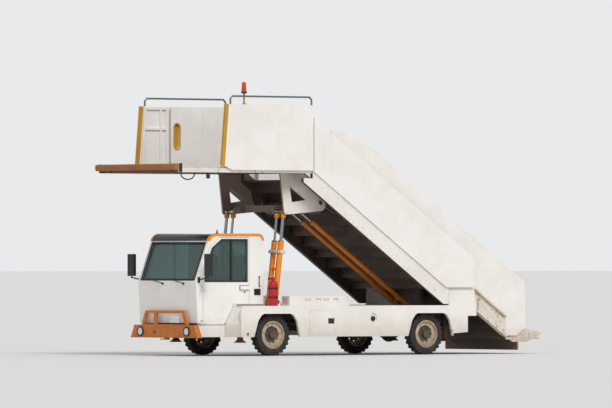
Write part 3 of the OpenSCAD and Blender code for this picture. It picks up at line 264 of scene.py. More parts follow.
front_eye, rear_eye = (2.60, 0.385), (-1.95, 0.425)
eye = drum((front_eye[0], panel_y, front_eye[1]), (front_eye[0], panel_y + 0.006, front_eye[1]), 0.022, 24)
step_in(eye, lambda c, n: n.y > 0.9, 0.007, 0.005)
step_in(eye, lambda c, n: n.y > 0.9, 0.006, -0.006)
soften(eye, 0.001)
hand_over(eye, "tie_eye_1", "chassis", chassis_black)
for i, ((x, z), mirrored) in enumerate(((front_eye, True), (rear_eye, False), (rear_eye, True))):
    copy_by(eye, f"tie_eye_{i + 2}", "chassis", (x - front_eye[0], 0, z - front_eye[1]), mirrored)

# Tail: a ribbed red lens on a black moulded base at the outer edge of each rear
# panel, held by screws from behind.
def textured(name, kind, pattern, tones, roughness, relief=None, more={}):
    # One texture spreads the tones, the roughness where it is a pair of values,
    # and the relief, which is given as its strength and its depth
    finish, tree, shader = new_finish(name)
    place = add(tree, "ShaderNodeTexCoord").outputs["Object"]
    texture = add(tree, f"ShaderNodeTex{kind}", pattern, {"Vector": place})
    share = texture.outputs["Distance" if kind == "Voronoi" else "Fac"]
    if len(tones) == 2:
        tone = add(tree, "ShaderNodeMix",
                   {"data_type": "RGBA", 6: linear(tones[0]), 7: linear(tones[1])}, {0: share})
        tree.links.new(tone.outputs[2], shader.inputs["Base Color"])
    else:
        shader.inputs["Base Color"].default_value = linear(tones[0])
    if isinstance(roughness, tuple):
        tree.links.new(spread(tree, share, 0, 1, *roughness), shader.inputs["Roughness"])
    else:
        shader.inputs["Roughness"].default_value = roughness
    if relief:
        bump = add(tree, "ShaderNodeBump", {"Strength": relief[0], "Distance": relief[1]},
                   {"Height": share})
        tree.links.new(bump.outputs[0], shader.inputs["Normal"])
    for socket_name, value in more.items():
        shader.inputs[socket_name].default_value = value
    return finish


def side_block(s, low, high):
    # A box measured on the left side, and set on the side that s names
    y = sorted((s * low[1], s * high[1]))
    return block((low[0], y[0], low[2]), (high[0], y[1], high[2]))


red_lens = textured("Red moulded acrylic lens", "Wave", {"Scale": 40.0, "bands_direction": "Z"},
                    ("8e1212", "b9201a"), 0.22, (0.4, 0.002))

sides = ((1, "left"), (-1, "right"))
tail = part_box("side_body_left")[0][0]
for s, name in sides:
    base = side_block(s, (tail - 0.022, 1.02, 0.60), (tail, 1.17, 0.74))
    step_in(base, lambda c, n: n.x < -0.9, 0.008, 0.004)
    soften(base, 0.003)
    hand_over(base, f"tail_lamp_base_{name}", "chassis", plastic)
    lamp = side_block(s, (tail - 0.042, 1.032, 0.615), (tail - 0.026, 1.158, 0.725))
    step_in(lamp, lambda c, n: n.x < -0.9, 0.006, 0.004)
    soften(lamp, 0.004, 3)
    hand_over(lamp, f"tail_lamp_{name}", "chassis", red_lens)

# Wheels: pressed steel discs, cream enamel on the outer ring, dark and oily
# round the hub, in cross-lugged rubber tyres with dust between the lugs. Each
# has a bolted hub cover, a sprung lock ring and a valve stem.
rubber, tree, shader = new_finish("Tyre rubber with dust in its lugs")
place = add(tree, "ShaderNodeTexCoord").outputs["Object"]
tone = add(tree, "ShaderNodeMix", {"data_type": "RGBA", 6: linear("211f1e"), 7: linear("463f37")},
           {0: spread(tree, noise(tree, place, 9.0, 6, 0.65), 0.35, 0.75, 0.0, 0.8)})
tree.links.new(tone.outputs[2], shader.inputs["Base Color"])
shader.inputs["Roughness"].default_value = 0.85
dress(rubber, "tyre_front_left", "tyre_front_right", "tyre_rear_left", "tyre_rear_right")

rim_cream = enamel("Cream enamel on wheel rings", "c8b79c", "a99577", "75604a",
                   roughness=0.5, dust_top=0.5, rust=0.9)
hub_dark = enamel("Oily dark enamel on wheel discs", "3a332d", "57493c", "6e6557",
                  roughness=0.6, dust_top=0.6, rust=0.5)
disc_r, hub_r, lock_r, valve_r = 0.150, 0.060, 0.2385, 0.0055
for end in ("front", "rear"):
    for s, name in sides:
        low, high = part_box(f"tyre_{end}_{name}")
        centre = Vector([(a + b) / 2 for a, b in zip(low, high)])
        body = f"wheel_{end}_{name}"
        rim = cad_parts[f"rim_{end}_{name}"]
        rim.data.materials.clear()
        rim.data.materials.append(rim_cream)
        rim.data.materials.append(hub_dark)
        for face in rim.data.polygons:
            away = math.hypot(face.center.x - centre.x, face.center.z - centre.z)
            face.material_index = 0 if away > disc_r else 1
        out = centre.y + s * 0.052
        hub = drum((centre.x, out, centre.z), (centre.x, out + s * 0.030, centre.z), hub_r, 40)
        step_in(hub, lambda c, n: s * n.y > 0.9, 0.012, 0.006)
        step_in(hub, lambda c, n: s * n.y > 0.9, 0.020, -0.004)
        step_in(hub, lambda c, n: s * n.y < -0.9, 0.020, -0.008)
        soften(hub, 0.004, 3)
        hand_over(hub, f"hub_cover_{end}_{name}", body, hub_dark)
        bpy.ops.object.select_all(action="DESELECT")
        bpy.ops.mesh.primitive_torus_add(major_radius=lock_r, minor_radius=0.0085,
                                         major_segments=64, minor_segments=12,
                                         location=(centre.x, centre.y + s * 0.0805, centre.z),
                                         rotation=(math.pi / 2, 0, 0))
        bpy.ops.object.transform_apply(location=True, rotation=True, scale=True)
        lock_ring = bpy.context.object
        pick(lock_ring, lambda c, n: s * n.y > 0.95)
        bpy.ops.transform.translate(value=(0, -s * 0.003, 0))
        bpy.ops.object.mode_set(mode="OBJECT")
        hand_over(lock_ring, f"lock_ring_{end}_{name}", body, rim_cream, 60)
        valve = drum((centre.x, centre.y + s * 0.020, centre.z + 0.178),
                     (centre.x, centre.y + s * 0.074, centre.z + 0.186), valve_r, 16)
        step_in(valve, lambda c, n: s * n.y > 0.9, 0.0015, 0.006)
        hand_over(valve, f"valve_{end}_{name}", body, plastic)

# Jacks: square steel legs with round feet, in orange enamel that has mostly
# rusted away.
jack_rust = enamel("Rusting orange enamel", "8a4c22", "6d3d1f", "5c4836",
                   roughness=0.7, dust_top=0.5, rust=0.6)
dress(jack_rust, "jack_front_left", "jack_front_right", "jack_rear_left", "jack_rear_right")

# Cab: a welded steel shell in white enamel, with a dark tinted panel between
# orange edge rails at the front of the roof and panes in black rubber seals.
# Two wipers, an aerial base, vents and grab hooks are screwed on.
cab_white = enamel("White enamel on the cab", "edeae4", "e0dbd3", "ab9c86",
                   roughness=0.34, dust_top=0.70, streaks=0.1)
dress(cab_white, "cab_shell", "door_left", "door_right")

roof_black = textured("Dark tinted acrylic roof panel", "Noise",
                      {"Scale": 5.0, "Detail": 6, "Roughness": 0.6}, ("15201f", "333b38"), (0.10, 0.34))
dress(roof_black, "roof_panel")

signal_orange = enamel("Signal orange enamel", "ee8a14", "dc7f1c", "8a6238",
                       roughness=0.36, dust_top=0.4, streaks=0.15)
dress(signal_orange, "roof_trim", "lift_barrels_left", "lift_barrels_right")

glass = textured("Green tinted safety glass", "Noise", {"Scale": 2.5, "Detail": 5},
                 ("7b9a94",), (0.02, 0.10), more={"Transmission Weight": 0.85, "IOR": 1.5})
dress(glass, "cab_glass", "door_glass_left", "door_glass_right")

seal_rubber = textured("Black extruded rubber seal", "Noise", {"Scale": 25.0, "Detail": 4},
                       ("121212", "2a2a29"), 0.7)


def seal(name, body, corners, width, proud):
    # A flat ring round a window, drawn through its corners, inset by the
    # seal's width, opened in the middle and raised off the panel
    bpy.ops.object.select_all(action="DESELECT")
    bpy.ops.mesh.primitive_circle_add(vertices=len(corners), radius=1, fill_type="NGON")
    ring = bpy.context.object
    for vertex, corner in zip(ring.data.vertices, corners):
        vertex.co = corner
    pick(ring, lambda c, n: True)
    bpy.ops.mesh.inset(thickness=width, depth=0)
    bpy.ops.mesh.delete(type="FACE")
    bpy.ops.mesh.select_all(action="SELECT")
    bpy.ops.mesh.normals_make_consistent(inside=False)
    bpy.ops.object.mode_set(mode="OBJECT")
    thicken(ring, proud)
    soften(ring, proud * 0.3, 2)
    hand_over(ring, name, body, seal_rubber)


def repeat(piece, count, step):
    rows = piece.modifiers.new("rows", "ARRAY")
    rows.count = count
    rows.use_relative_offset = False
    rows.use_constant_offset = True
    rows.constant_offset_displace = step
    bpy.ops.object.modifier_apply(modifier=rows.name)


cab_low, cab_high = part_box("cab_shell")
screen = [Vector((3.4467, 0, 1.340)), Vector((3.1988, 0, 1.990))]
lean = (screen[1] - screen[0]).normalized()
screen_out = Vector((lean.z, 0, -lean.x))
screen_half, screen_lap, seal_lift = 0.806, lean * 0.014, screen_out * 0.004
screen_foot, screen_head = screen[0] - screen_lap + seal_lift, screen[1] + screen_lap + seal_lift
seal("screen_seal", "chassis", [screen_foot + Vector((0, screen_half, 0)),
                                screen_foot + Vector((0, -screen_half, 0)),
                                screen_head + Vector((0, -screen_half, 0)),
                                screen_head + Vector((0, screen_half, 0))], 0.032, 0.012)
rear_corners = ((-0.635, 1.365), (0.635, 1.365), (0.635, 1.995), (-0.635, 1.995))
seal("rear_seal", "chassis", [(cab_low[0] - 0.004, y, z) for y, z in rear_corners], 0.032, 0.010)

arm_reach, blade_length = 0.44, 0.50
for number, y in ((1, 0.50), (2, -0.12)):
    root = Vector((3.459, y, 1.268))
    boss = drum(root, root + screen_out * 0.030, 0.018, 24)
    step_in(boss, lambda c, n: n.dot(screen_out) > 0.9, 0.005, 0.004)
    soften(boss, 0.002)
    hand_over(boss, f"wiper_boss_{number}", "chassis", plastic)
    elbow = root + screen_out * 0.028
    tip = elbow + Vector((0, -arm_reach, 0)) + lean * 0.09
    arm = drum(elbow, tip, 0.0065, 12)
    pick(arm, lambda c, n: n.y < -0.9)
    bpy.ops.mesh.extrude_region_move(TRANSFORM_OT_translate={"value": lean * 0.012 + Vector((0, -0.05, 0))})
    bpy.ops.transform.resize(value=(0.5, 0.5, 0.5), center_override=tip)
    bpy.ops.object.mode_set(mode="OBJECT")
    hand_over(arm, f"wiper_arm_{number}", "chassis", plastic)
    start = elbow + Vector((0, -0.18, 0)) + lean * 0.075 - screen_out * 0.010
    blade = drum(start, start + Vector((0, -blade_length, 0)), 0.006, 10)
    step_in(blade, lambda c, n: abs(n.y) > 0.9, 0.002, 0.006)
    hand_over(blade, f"wiper_blade_{number}", "chassis", seal_rubber)

mast_x, mast_y, roof_z = 2.75, 0.52, cab_high[2]
mast = drum((mast_x, mast_y, roof_z + 0.004), (mast_x, mast_y, roof_z + 0.022), 0.026, 28)
step_in(mast, lambda c, n: n.z > 0.9, 0.010, 0.006)
step_in(mast, lambda c, n: n.z > 0.9, 0.008, 0.050)
soften(mast, 0.002)
hand_over(mast, "aerial_base", "chassis", plastic)

cab_side = 0.860
hook_x, hook_foot, bend = 2.080, 1.225, 0.025
hook_out = cab_side + 0.024
for s, name in sides:
    grille = side_block(s, (2.055, cab_side, 1.070), (2.190, cab_side + 0.010, 1.180))
    step_in(grille, lambda c, n: s * n.y > 0.9, 0.010, -0.006)
    hand_over(grille, f"vent_grille_{name}", "chassis", plastic)
    slat = side_block(s, (2.066, cab_side + 0.002, 1.086), (2.179, cab_side + 0.012, 1.091))
    repeat(slat, 6, (0, 0, 0.0155))
    soften(slat, 0.001, 1)
    hand_over(slat, f"vent_slats_{name}", "chassis", plastic)
    # A round bar out from the panel, bent up, and bent back in to the panel
    hook = drum((hook_x, s * cab_side, hook_foot), (hook_x, s * hook_out, hook_foot), 0.010, 16)
    pick(hook, lambda c, n: s * n.y > 0.9)
    bpy.ops.mesh.spin(steps=6, angle=s * math.pi / 2, axis=(1, 0, 0),
                      center=(hook_x, s * hook_out, hook_foot + bend))
    bpy.ops.mesh.extrude_region_move(TRANSFORM_OT_translate={"value": (0, 0, 0.120)})
    bpy.ops.mesh.spin(steps=6, angle=s * math.pi / 2, axis=(1, 0, 0),
                      center=(hook_x, s * hook_out, hook_foot + bend + 0.120))
    bpy.ops.mesh.extrude_region_move(TRANSFORM_OT_translate={"value": (0, -s * 0.024, 0)})
    bpy.ops.object.mode_set(mode="OBJECT")
    hand_over(hook, f"grab_hook_{name}", "chassis", plastic)

# Doors: pressed skins with a rubber-framed window and a black strip down its
# divider. A thin black pad round the pull handle is a painted shadow of its
# recess, with the lock below it.
window = [(3.264, 1.314), (2.349, 1.314), (2.349, 2.045), (2.904, 2.045), (3.108, 1.892), (3.249, 1.518)]
middle_x = sum(x for x, z in window) / 6
middle_z = sum(z for x, z in window) / 6
lock_x, lock_z = 2.400, 1.120
for s, name in sides:
    grown = [(middle_x + (x - middle_x) * 1.030, middle_z + (z - middle_z) * 1.036) for x, z in window]
    corners = [(x, s * 0.8635, z) for x, z in grown]
    seal(f"door_seal_{name}", f"door_{name}", corners[::-1] if s > 0 else corners, 0.026, 0.009)
    strip = side_block(s, (2.668, 0.822, 1.318), (2.698, 0.862, 2.040))
    step_in(strip, lambda c, n: s * n.y > 0.9, 0.006, 0.003)
    hand_over(strip, f"window_divider_{name}", f"door_{name}", seal_rubber)
    # Thin black pad round the handle: painted shadow of the handle's recess
    pad = side_block(s, (2.300, 0.8602, 1.156), (2.512, 0.8625, 1.244))
    step_in(pad, lambda c, n: s * n.y > 0.9, 0.006, -0.001)
    soften(pad, 0.0008)
    hand_over(pad, f"handle_gasket_{name}", f"door_{name}", seal_rubber)
    lock = drum((lock_x, s * 0.859, lock_z), (lock_x, s * 0.866, lock_z), 0.014, 24)
    step_in(lock, lambda c, n: s * n.y > 0.9, 0.004, -0.002)
    soften(lock, 0.0008)
    hand_over(lock, f"door_lock_{name}", f"door_{name}", plastic)

# Cab inside: a moulded dash and steering wheel, and two seats of black vinyl
# over foam on steel boxes. Each cushion is blown up inside its cover and then
# drawn in along its sewn seams.
dress(plastic, "cab_controls")

vinyl, tree, shader = new_finish("Black grained vinyl on seat foam")
place = add(tree, "ShaderNodeTexCoord").outputs["Object"]
# Leather grain of 3 mm, drawn at 5 mm so that it shows
cells = add(tree, "ShaderNodeTexVoronoi", {"Scale": 200.0}, {"Vector": place})
creases = noise(tree, place, 14.0, 6, 0.6)
relief = add(tree, "ShaderNodeMath", {"operation": "MULTIPLY_ADD", 1: 0.6},
             {0: cells.outputs["Distance"], 2: creases})
bump = add(tree, "ShaderNodeBump", {"Strength": 0.35, "Distance": 0.002}, {"Height": relief.outputs[0]})
tone = add(tree, "ShaderNodeMix", {"data_type": "RGBA", 6: linear("1b1c1e"), 7: linear("303134")},
           {0: creases})
tree.links.new(tone.outputs[2], shader.inputs["Base Color"])
tree.links.new(bump.outputs[0], shader.inputs["Normal"])
shader.inputs["Roughness"].default_value = 0.48


def stuffed(name, low, high, tilt, pivot):
    # A cover sewn up from panels, filled and then pinched along its seams
    weave, most_swell, seam_reach, seam_sink = 0.013, 0.014, 0.010, 0.007
    pad = block(low, high)
    soften(pad, 0.030, 3)
    grid = pad.modifiers.new("cover", "REMESH")
    grid.mode = "VOXEL"
    grid.voxel_size = weave
    bpy.ops.object.modifier_apply(modifier="cover")
    kept = [v.co.copy() for v in pad.data.vertices]
    foam = pad.modifiers.new("foam", "CLOTH")
    foam.settings.use_pressure = True
    foam.settings.uniform_pressure_force = 4
    foam.settings.effector_weights.gravity = 0
    for count in range(1, 21):
        bpy.context.scene.frame_set(count)
    bpy.ops.object.modifier_apply(modifier="foam")
    for vertex, old in zip(pad.data.vertices, kept):
        moved = vertex.co - old
        if moved.length > most_swell:
            vertex.co = old + moved * (most_swell / moved.length)
    bpy.context.scene.frame_set(1)
    middle = [(a + b) / 2 for a, b in zip(low, high)]
    seams = [share * (high[1] - low[1]) for share in (-0.25, 0.25)]
    lying = high[0] - low[0] > high[2] - low[2]
    for vertex in pad.data.vertices:
        pinch = sum(math.exp(-((vertex.co.y - middle[1] - seam) / seam_reach) ** 2) for seam in seams)
        if not lying:
            pinch += math.exp(-((vertex.co.z - middle[2]) / seam_reach) ** 2)
        inward = Vector((middle[0], vertex.co.y, middle[2])) - vertex.co
        if inward.length > 0.02:
            vertex.co += inward.normalized() * seam_sink * min(pinch, 1)
        if lying and vertex.co.z < low[2] + 0.004:
            vertex.co.z = low[2]
    pad.data.transform(Matrix.Translation(pivot) @ Matrix.Rotation(tilt, 4, "Y")
                       @ Matrix.Translation(-Vector(pivot)))
    hand_over(pad, name, "chassis", vinyl, 80)
    return pad


seat_y, seat_half, back_half = 0.400, 0.215, 0.205
cushion = stuffed("seat_cushion_left", (2.305, seat_y - seat_half, 1.094),
                  (2.775, seat_y + seat_half, 1.165), -0.02, (2.3, 0, 1.09))
backrest = stuffed("seat_back_left", (2.225, seat_y - back_half, 1.165),
                   (2.300, seat_y + back_half, 1.790), -0.10, (2.26, 0, 1.15))
for piece in (cushion, backrest):
    twin = copy_by(piece, piece.name.replace("left", "right"), "chassis", mirrored=True)
    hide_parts("cab_seats")
    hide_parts("cab_seats")
for s, name in sides:
    box = side_block(s, (2.325, seat_y - seat_half, 0.953), (2.755, seat_y + seat_half, 1.086))
    step_in(box, lambda c, n: abs(n.y) > 0.9 or n.x > 0.9, 0.020, -0.004)
    soften(box, 0.006)
    hand_over(box, f"seat_box_{name}", "chassis", plastic)
    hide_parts("cab_seats")

# Front bumper: a folded steel beam with a welded tube frame over it, in
# weathered orange. Round headlamps sit in black bowls behind fluted glass,
# and a blank plate is screwed to the frame.
bumper_orange = enamel("Weathered orange enamel", "c9741a", "ad651f", "6b5138",
                       roughness=0.46, dust_top=0.42, rust=0.2)
dress(bumper_orange, "front_bumper")

lens = textured("Fluted headlamp glass over a reflector", "Wave",
                {"Scale": 26.0, "Distortion": 0.4, "bands_direction": "Y"}, ("dfe2e0",), 0.12, (0.4, 0.003),
                {"Metallic": 0.75})
dress(lens, "headlamps")

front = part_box("front_bumper")[1][0]
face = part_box("headlamps")[1][0]
lamp_y, lamp_z, lamp_r, glass_r = 0.690, 0.432, 0.084, 0.070
for s, name in sides:
    y = s * lamp_y
    bowl = drum((face - 0.030, y, lamp_z), (face + 0.006, y, lamp_z), lamp_r, 48)
    step_in(bowl, lambda c, n: n.x > 0.9, 0.011, 0.004)
    hollow(bowl, lambda c, n: n.x > 0.9 and abs(c.y - y) < 0.02 and abs(c.z - lamp_z) < 0.02)
    hollow(bowl, lambda c, n: n.x < -0.9)
    thicken(bowl, 0.003)
    hand_over(bowl, f"lamp_bowl_{name}", "chassis", plastic)
    bpy.ops.object.select_all(action="DESELECT")
    bpy.ops.mesh.primitive_uv_sphere_add(segments=40, ring_count=20, radius=glass_r,
                                         location=(face - 0.002, y, lamp_z))
    dome = bpy.context.object
    bpy.ops.object.transform_apply(location=True, rotation=True, scale=True)
    dome.select_set(True)
    pick(dome, lambda c, n: True)
    bpy.ops.mesh.bisect(plane_co=(face, 0, 0), plane_no=(1, 0, 0), use_fill=True, clear_inner=True)
    bpy.ops.mesh.select_all(action="SELECT")
    bpy.ops.transform.resize(value=(0.30, 1, 1), center_override=(face, y, lamp_z))
    bpy.ops.object.mode_set(mode="OBJECT")
    hand_over(dome, f"lamp_glass_{name}", "chassis", lens)

plate_white = textured("Reflective white number plate, blank", "Voronoi", {"Scale": 420.0},
                       ("c9cdd0", "dfe2e4"), 0.3)
plate = block((front - 0.013, 0.26, 0.585), (front - 0.009, 0.52, 0.705))
step_in(plate, lambda c, n: n.x > 0.9, 0.006, 0.0012)
soften(plate, 0.001)
hand_over(plate, "front_plate", "chassis", plate_white)
screw_y, screw_z = 0.275, 0.645
screw = drum((front - 0.010, screw_y, screw_z), (front - 0.0055, screw_y, screw_z), 0.006, 16)
step_in(screw, lambda c, n: n.x > 0.9, 0.002, -0.001)
hand_over(screw, "plate_screw_1", "chassis", plastic)
copy_by(screw, "plate_screw_2", "chassis", (0, 0.23, 0))
outer_y, inner_y, low_row, high_row = 0.46, 0.40, 0.355, 0.505
bolt = drum((front - 0.002, outer_y, low_row), (front + 0.007, outer_y, low_row), 0.014, 6)
step_in(bolt, lambda c, n: n.x > 0.9, 0.003, 0.002)
soften(bolt, 0.001)
hand_over(bolt, "bumper_bolt_1", "chassis", bumper_orange)
for i, (y, z) in enumerate(((inner_y, low_row), (-outer_y, low_row), (-inner_y, low_row),
                            (outer_y, high_row), (-outer_y, high_row))):
    copy_by(bolt, f"bumper_bolt_{i + 2}", "chassis", (0, y - outer_y, z - low_row))

# Mirrors: a tall moulded head on a bent tube arm, with a silvered glass in
# a raised rim on its rear face.
dress(plastic, "mirrors")
mirror_glass = textured("Silvered mirror glass", "Noise", {"Scale": 12.0, "Detail": 4},
                        ("c4cacc",), (0.02, 0.14), more={"Metallic": 1})
for s, name in sides:
    rim = side_block(s, (3.364, 1.064, 1.412), (3.3725, 1.236, 1.788))
    step_in(rim, lambda c, n: n.x < -0.9, 0.012, -0.004)
    soften(rim, 0.003)
    hand_over(rim, f"mirror_rim_{name}", "chassis", plastic)
    mirror = side_block(s, (3.3655, 1.079, 1.427), (3.3675, 1.221, 1.773))
    step_in(mirror, lambda c, n: n.x < -0.9, 0.003, 0.0005)
    hand_over(mirror, f"mirror_glass_{name}", "chassis", mirror_glass)

# Extinguisher: a red enamelled bottle in a steel cradle, held by two black
# rubber straps with moulded buckles, and with its grip on top.
bottle_red = enamel("Red enamel on the extinguisher", "c0141d", "a5161d", "6b2c28",
                    roughness=0.28, dust_top=0.3, streaks=0.05)
dress(bottle_red, "extinguisher")
low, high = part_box("extinguisher")
mid = Vector(((low[0] + high[0]) / 2, (low[1] + high[1]) / 2, 0))
for number, z in ((1, 1.03), (2, 1.19)):
    strap = drum(mid + Vector((0, 0, z - 0.014)), mid + Vector((0, 0, z + 0.014)), 0.0885, 48)
    hollow(strap, lambda c, n: abs(n.z) > 0.9)
    thicken(strap, 0.004)
    soften(strap, 0.001, 1)
    hand_over(strap, f"bottle_strap_{number}", "chassis", seal_rubber)
    buckle = block(mid + Vector((-0.02, 0.086, z - 0.018)), mid + Vector((0.02, 0.097, z + 0.018)))
    step_in(buckle, lambda c, n: n.y > 0.9, 0.005, -0.004)
    soften(buckle, 0.002)
    hand_over(buckle, f"strap_buckle_{number}", "chassis", plastic)
grip = block(mid + Vector((-0.012, -0.015, high[2] - 0.020)), mid + Vector((0.105, 0.015, high[2] - 0.004)))
step_in(grip, lambda c, n: n.z > 0.9, 0.004, -0.003)
pick(grip, lambda c, n: n.x > 0.9)
bpy.ops.transform.translate(value=(0, 0, -0.025))
bpy.ops.object.mode_set(mode="OBJECT")
soften(grip, 0.003)
hand_over(grip, "bottle_grip", "chassis", plastic)

# Lift: hydraulic cylinders with painted barrels and chromed rods. The barrels
# have screwed glands, bolted white clamp plates and a bent oil pipe, and the
# rods end in clevises. A washer and a nut close each foot pin.
chrome = textured("Hard chrome rod with an oil film", "Noise",
                  {"Scale": 18.0, "Detail": 5, "Roughness": 0.65},
                  ("b9bcbc", "96938c"), (0.08, 0.30), more={"Metallic": 1})
dress(chrome, "lift_rods_left", "lift_rods_right", "telescope_rods")

zinc = textured("Zinc-plated steel fastener", "Noise", {"Scale": 60.0, "Detail": 4},
                ("8e8d86", "6c6659"), 0.42, more={"Metallic": 0.85})

lift_foot = Vector((1.715, 0, 0.950))
lean_back = Matrix.Translation(lift_foot) @ Matrix.Rotation(math.radians(-6.878), 4, "Y")


def on_lift(piece, name, body, finish, shift=(0, 0, 0)):
    # The piece is drawn with the cylinder upright on the origin, then leaned
    # back on to the foot pin; the right-hand lift gets a mirrored copy
    piece.data.transform(lean_back @ Matrix.Translation(shift))
    hand_over(piece, f"{name}_left", f"{body}_left", finish)
    copy_by(piece, f"{name}_right", f"{body}_right", mirrored=True)


outer_lift, inner_lift = 0.840, 0.650
for number, y in ((1, outer_lift), (2, inner_lift)):
    gland = drum((0, y, 1.064), (0, y, 1.090), 0.050 - 0.004 * number, 12)
    hollow(gland, lambda c, n: abs(n.z) > 0.9)
    thicken(gland, 0.014)
    soften(gland, 0.002)
    on_lift(gland, f"gland_{number}", "barrels", zinc)
    clevis = drum((0, y, 1.500), (0, y, 1.572), 0.048, 8)
    step_in(clevis, lambda c, n: abs(n.z) > 0.9, 0.010, 0.004)
    soften(clevis, 0.004)
    on_lift(clevis, f"rod_clevis_{number}", "rods", signal_orange)

plates = (("clamp_side", (-0.052, 0.9005, 0.866), (0.052, 0.9085, 0.914)),
          ("clamp_front", (0.0605, 0.600, 0.866), (0.0685, 0.890, 0.914)))
for name, low, high in plates:
    plate = block(low, high)
    step_in(plate, lambda c, n: n.y > 0.9 if name == "clamp_side" else n.x > 0.9, 0.006, 0.001)
    soften(plate, 0.0015)
    on_lift(plate, name, "barrels", body_white)
clamp_z = 0.890
for number, (x, y, facing) in enumerate(((-0.036, 0.908, "Y"), (0.036, 0.908, "Y"), (0.068, 0.620, "X"),
                                         (0.068, 0.745, "X"), (0.068, 0.870, "X"))):
    end = (x, y + 0.009, clamp_z) if facing == "Y" else (x + 0.009, y, clamp_z)
    bolt = drum((x, y, clamp_z), end, 0.010, 6)
    step_in(bolt, lambda c, n: (n.y if facing == "Y" else n.x) > 0.9, 0.002, 0.0015)
    on_lift(bolt, f"clamp_bolt_{number + 1}", "barrels", zinc)

# A bent steel oil pipe runs up the back of each outer barrel
pipe_x, pipe_foot, pipe_bend, pipe_rise = -0.070, 0.150, 0.020, 0.800
pipe = drum((-0.040, outer_lift, pipe_foot), (pipe_x, outer_lift, pipe_foot), 0.008, 16)
pick(pipe, lambda c, n: n.x < -0.9)
bpy.ops.mesh.spin(steps=6, angle=math.pi / 2, axis=(0, 1, 0),
                  center=(pipe_x, outer_lift, pipe_foot + pipe_bend))
bpy.ops.mesh.extrude_region_move(TRANSFORM_OT_translate={"value": (0, 0, pipe_rise)})
bpy.ops.mesh.spin(steps=6, angle=math.pi / 2, axis=(0, 1, 0),
                  center=(pipe_x, outer_lift, pipe_foot + pipe_bend + pipe_rise))
bpy.ops.mesh.extrude_region_move(TRANSFORM_OT_translate={"value": (0.030, 0, 0)})
bpy.ops.object.mode_set(mode="OBJECT")
on_lift(pipe, "oil_pipe", "barrels", zinc)

for s, name in sides:
    washer = drum(lift_foot + Vector((0, s * 0.926, 0)), lift_foot + Vector((0, s * 0.933, 0)), 0.032, 32)
    step_in(washer, lambda c, n: s * n.y > 0.9, 0.008, 0.002)
    soften(washer, 0.001)
    hand_over(washer, f"pin_washer_{name}", "chassis", zinc)
    nut = drum(lift_foot + Vector((0, s * 0.935, 0)), lift_foot + Vector((0, s * 0.950, 0)), 0.020, 6)
    step_in(nut, lambda c, n: s * n.y > 0.9, 0.004, 0.003)
    soften(nut, 0.001)
    hand_over(nut, f"pin_nut_{name}", "chassis", zinc)

# Lower flight: a welded frame of channel and closed risers, cream outside and
# dark brown on the faces turned in as painted shade, between guards of flat
# sheet with a folded top edge. Aluminium nosings are screwed along the steps.
# Brown given to the faces turned in, as painted shade
inward_shade_brown = "4a3c33"
dress(enamel("Cream enamel on the lower channel", "ddd3c4", "c9bba4", "8f7a5e", roughness=0.5, dust_top=0.5,
             rust=0.45, shade_within=1.055, inside=inward_shade_brown), "lower_frame")
guard_white = enamel("Older white enamel on guard panels", "ebe6e0", "dcd5cc", "a59a88",
                     roughness=0.44, dust_top=0.5, streaks=0.25)
dress(guard_white, "upper_guards", "lower_guards", "sliding_guard_left", "sliding_guard_right")

nosing_alloy = textured("Ribbed aluminium nosing", "Noise", {"Scale": 30.0, "Detail": 6, "Roughness": 0.7},
                        ("a3a19b", "6f6a61"), 0.45, more={"Metallic": 0.7})

going, rise = 0.27536, 0.190


def nosings(name, body, x, z, half, count):
    # One ribbed strip on the edge of the lowest step, repeated up the flight
    strip = block((x + 0.002, -half, z + 0.0005), (x + 0.052, half, z + 0.0045))
    pick(strip, lambda c, n: n.z > 0.9)
    bpy.ops.mesh.subdivide(number_cuts=4)
    bpy.ops.object.mode_set(mode="OBJECT")
    for vertex in strip.data.vertices:
        across = round((vertex.co.x - x - 0.002) / 0.010)
        if vertex.co.z > z + 0.004 and across in (1, 3):
            vertex.co.z += 0.0025
    repeat(strip, count, (going, 0, rise))
    hand_over(strip, name, body, nosing_alloy)


nosings("nosings_lower", "lower_flight", -3.610, 0.294, 1.045, 14)

# Upper flight: the same channel, white outside and brown on the faces turned
# in as painted shade. It slides along the lower flight on two orange cylinders
# with chromed rods.
dress(enamel("White enamel on the outer channel", "e6e1da", "d6cec3", "a59a88", roughness=0.5, rust=0.1,
             shade_within=1.2515, inside=inward_shade_brown), "upper_frame")
nosings("nosings_upper", "upper_flight", -1.5636, 1.400, 1.165, 8)
nosings("nosings_top", "upper_flight", 0.63928, 2.920, 0.855, 2)

dress(enamel("Scuffed orange enamel", "d97b1a", "b8661a", "6b4d33", roughness=0.45, rust=0.35),
      "telescope_barrels")

# Platform: a floor of folded plate on channel beams, white at its edges and
# brown beneath and inboard of them as painted shade, between flat white walls.
# Grit strips are glued to the floor, and ochre strips are bolted to the walls'
# front edges.
dress(enamel("White enamel over brown primer", "e4ddd3", "cfc5b7", "a59a88", roughness=0.5, dust_top=0.4,
             rust=0.25, shade_within=1.185, inside="66503c"), "platform_deck")
dress(guard_white, "platform_walls")
strip_ochre = enamel("Ochre enamel on edge strips", "c08f1a", "ab7f22", "7c6638",
                     roughness=0.42, dust_top=0.3)
dress(strip_ochre, "edge_strips")

grit = textured("Black grit strip", "Voronoi", {"Scale": 260.0}, ("232323", "4a4742"), 0.95, (0.6, 0.001))

floor_top, tape_pitch, tape_count = 3.300, 0.25, 11
tape = block((1.30, -1.12, floor_top + 0.0004), (1.40, 1.12, floor_top + 0.0024))
step_in(tape, lambda c, n: n.z > 0.9, 0.004, 0.0012)
repeat(tape, tape_count, (tape_pitch, 0, 0))
hand_over(tape, "grit_strips", "platform", grit)
